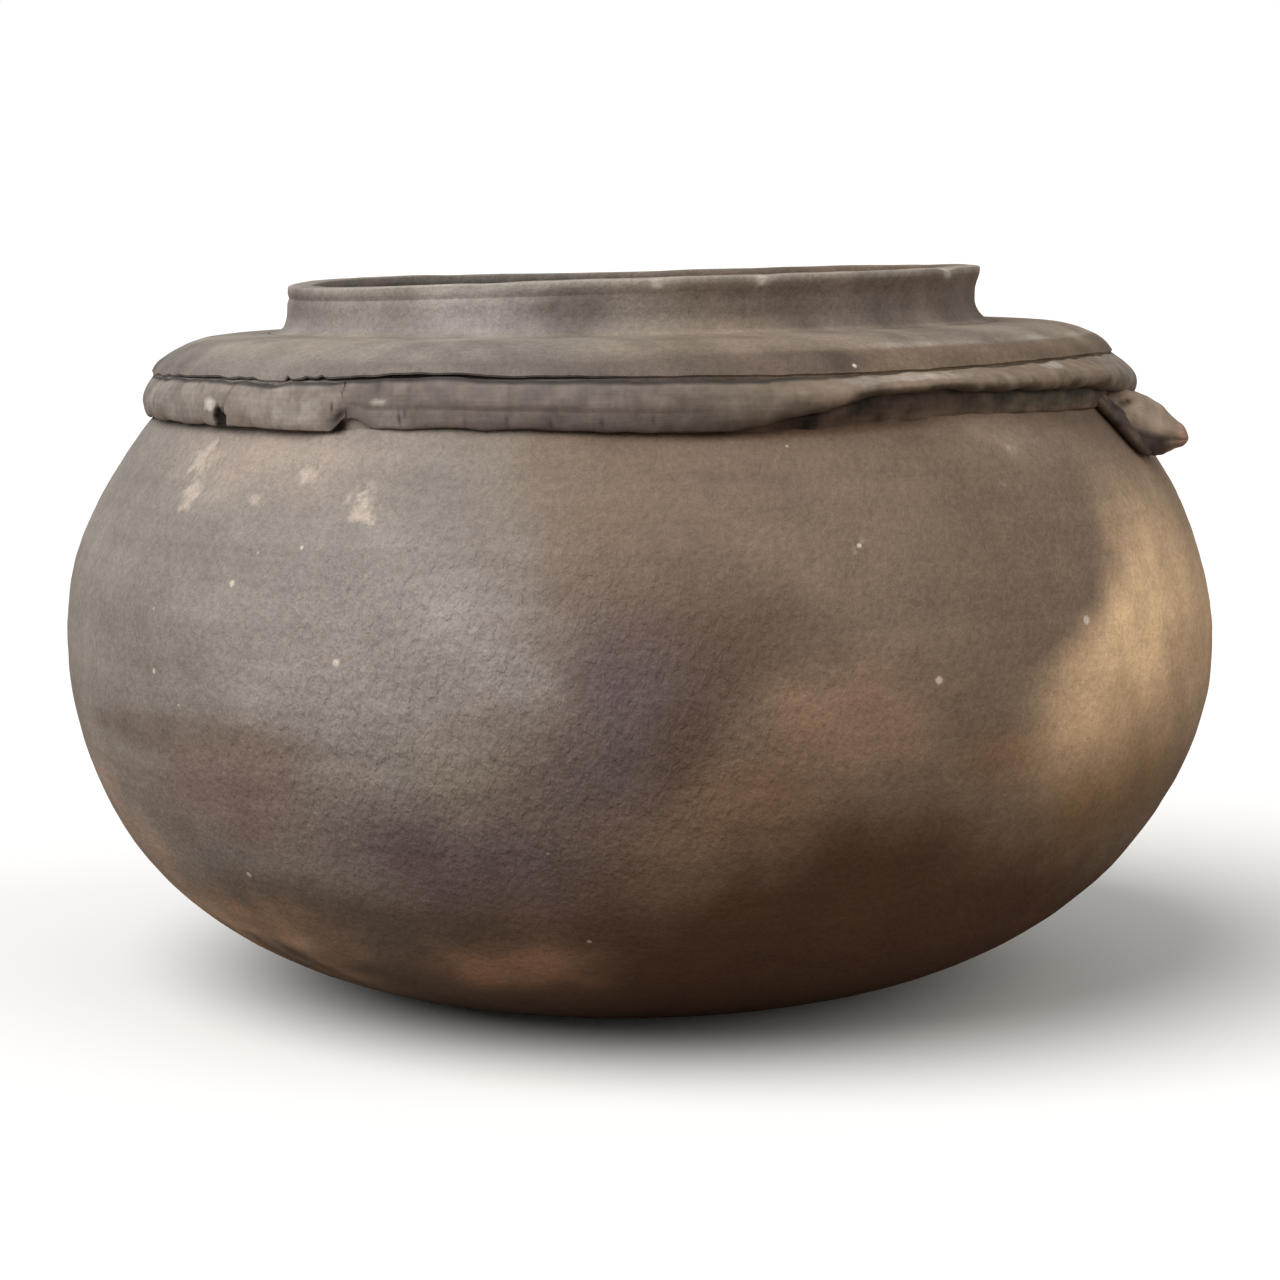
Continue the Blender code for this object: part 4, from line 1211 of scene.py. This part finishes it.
grits = (          # angle, height, half size: pale grains on the face of the clay
    (-50.4, 0.1052, 0.0010), (-40.7, 0.1317, 0.0013), (-27.5, 0.1128, 0.0013), (26.9, 0.1081, 0.0014),
    (44.9, 0.1195, 0.0016), (20.7, 0.1424, 0.0008), (-42.6, 0.0501, 0.0010), (-4.4, 0.0387, 0.0009),
    (24.4, 0.1868, 0.0008), (-8.0, 0.0650, 0.0008), (-33.0, 0.1420, 0.0008),
    (100, 0.120, 0.0013), (150, 0.090, 0.0011), (-100, 0.140, 0.0012), (-150, 0.110, 0.0010),
)


def clayFinish(name):
    finish, tree, shader, place = newFinish(name)
    colour = stored(place, "tint", "Color")
    scuff = stored(place, "scuff")
    beaten = stored(place, "beaten")
    patchy = noise(place, 70, 5.0)
    streaks = noise(stretched(place, (7, 7, 190)), 1.0, 4.0)
    fine = noise(place, 560, 4.0)
    chafe = noise(place, 240, 5.0)
    finest = noise(place, 1700, 2.0)
    dimples = noise(stretched(place, (1, 1, 0.7)), 430, 2.0)
    flakes = ramp(noise(stretched(place, (1, 1, 0.5)), 470, 1.0), 0.05, 0.12)    # sparse, steep
    grit = 0.6 * specks(place, 130, 0.075, 0.10)
    for angle, level, half in grits:
        radius = shoulderLine(level) if level > pot["bellyHeight"] else bowlLine(level)
        radius = pot["seat"] - 0.0003 if level > pot["shelf"] else radius
        centre = slumped(fromPolar(np.array(float(angle)), radius, level))
        away = place.node("VectorMath", {"operation": "DISTANCE"}, {0: place, 1: tuple(centre)}, "Value")
        grit = grit.sum("MAXIMUM", grit, 1 - ramp(away + 0.0014 * fine, half * 0.4, half * 1.10))
    colour = blended(0.55 * ramp(scuff + 1.1 * chafe, 0.34, 0.72), colour, clayLook["scuff"])
    colour = blended(0.72 * grit, colour, clayLook["grit"])
    light = 1 + clayLook["mottle"] * patchy + clayLook["streak"] * streaks + clayLook["fine"] * fine
    light = light + clayLook["finest"] * finest
    relief = clayLook["dimple"] * dimples * beaten + clayLook["grain"] * fine + clayLook["line"] * streaks
    relief = relief + clayLook["grains"] * grit + clayLook["flake"] * flakes * ramp(beaten, 0.48, 0.90)
    relief = relief + clayLook["dust"] * finest
    joinUp(tree, shader, colour, light, relief, clayLook["roughness"] + 0.3 * patchy)
    shader.inputs["Specular IOR Level"].default_value = clayLook["sheen"]
    return finish


hideLooks = {      # depth of cracks across, fibres along and fine grain in mm, and the roughness
    "dustyHide": {"crack": 0.14, "fibre": 0.12, "fine": 0.10, "rough": 0.72},
    "darkHide": {"crack": 0.08, "fibre": 0.22, "fine": 0.12, "rough": 0.70},
    "brownHide": {"crack": 0.08, "fibre": 0.10, "fine": 0.14, "rough": 0.60},
}


def hideFinish(name):
    look = hideLooks[name]
    finish, tree, shader, place = newFinish(name)
    colour = stored(place, "tint", "Color")
    along = stored(place, "along")
    across = stored(place, "across")
    laid = place.node("CombineXYZ", {}, {"X": along, "Y": across})
    cracks = noise(stretched(laid, (520, 60, 1)), 1.0, 4.0)
    fibres = noise(stretched(laid, (45, 800, 1)), 1.0, 3.0)
    patchy = noise(place, 110, 4.0)
    fine = noise(place, 700, 3.0)
    light = 1 + 0.32 * cracks + 0.26 * fibres + 0.35 * patchy + 0.30 * fine
    relief = look["crack"] * cracks + look["fibre"] * fibres + look["fine"] * fine
    joinUp(tree, shader, colour, light, relief, look["rough"] + 0.3 * patchy)
    shader.inputs["Specular IOR Level"].default_value = 0.3
    return finish


# The whole object

setCamera()
setStudio()
makeBowl(clayFinish("sootyClay"))
dustyClay = clayFinish("dustyClay")
makeBelly(dustyClay)
makeLedge(dustyClay)
makeNeck(dustyClay)
makeStrap(hideFinish("dustyHide"))
makeStrip(hideFinish("darkHide"))
brownHide = hideFinish("brownHide")
makeHitch(brownHide)
makeTail(brownHide)
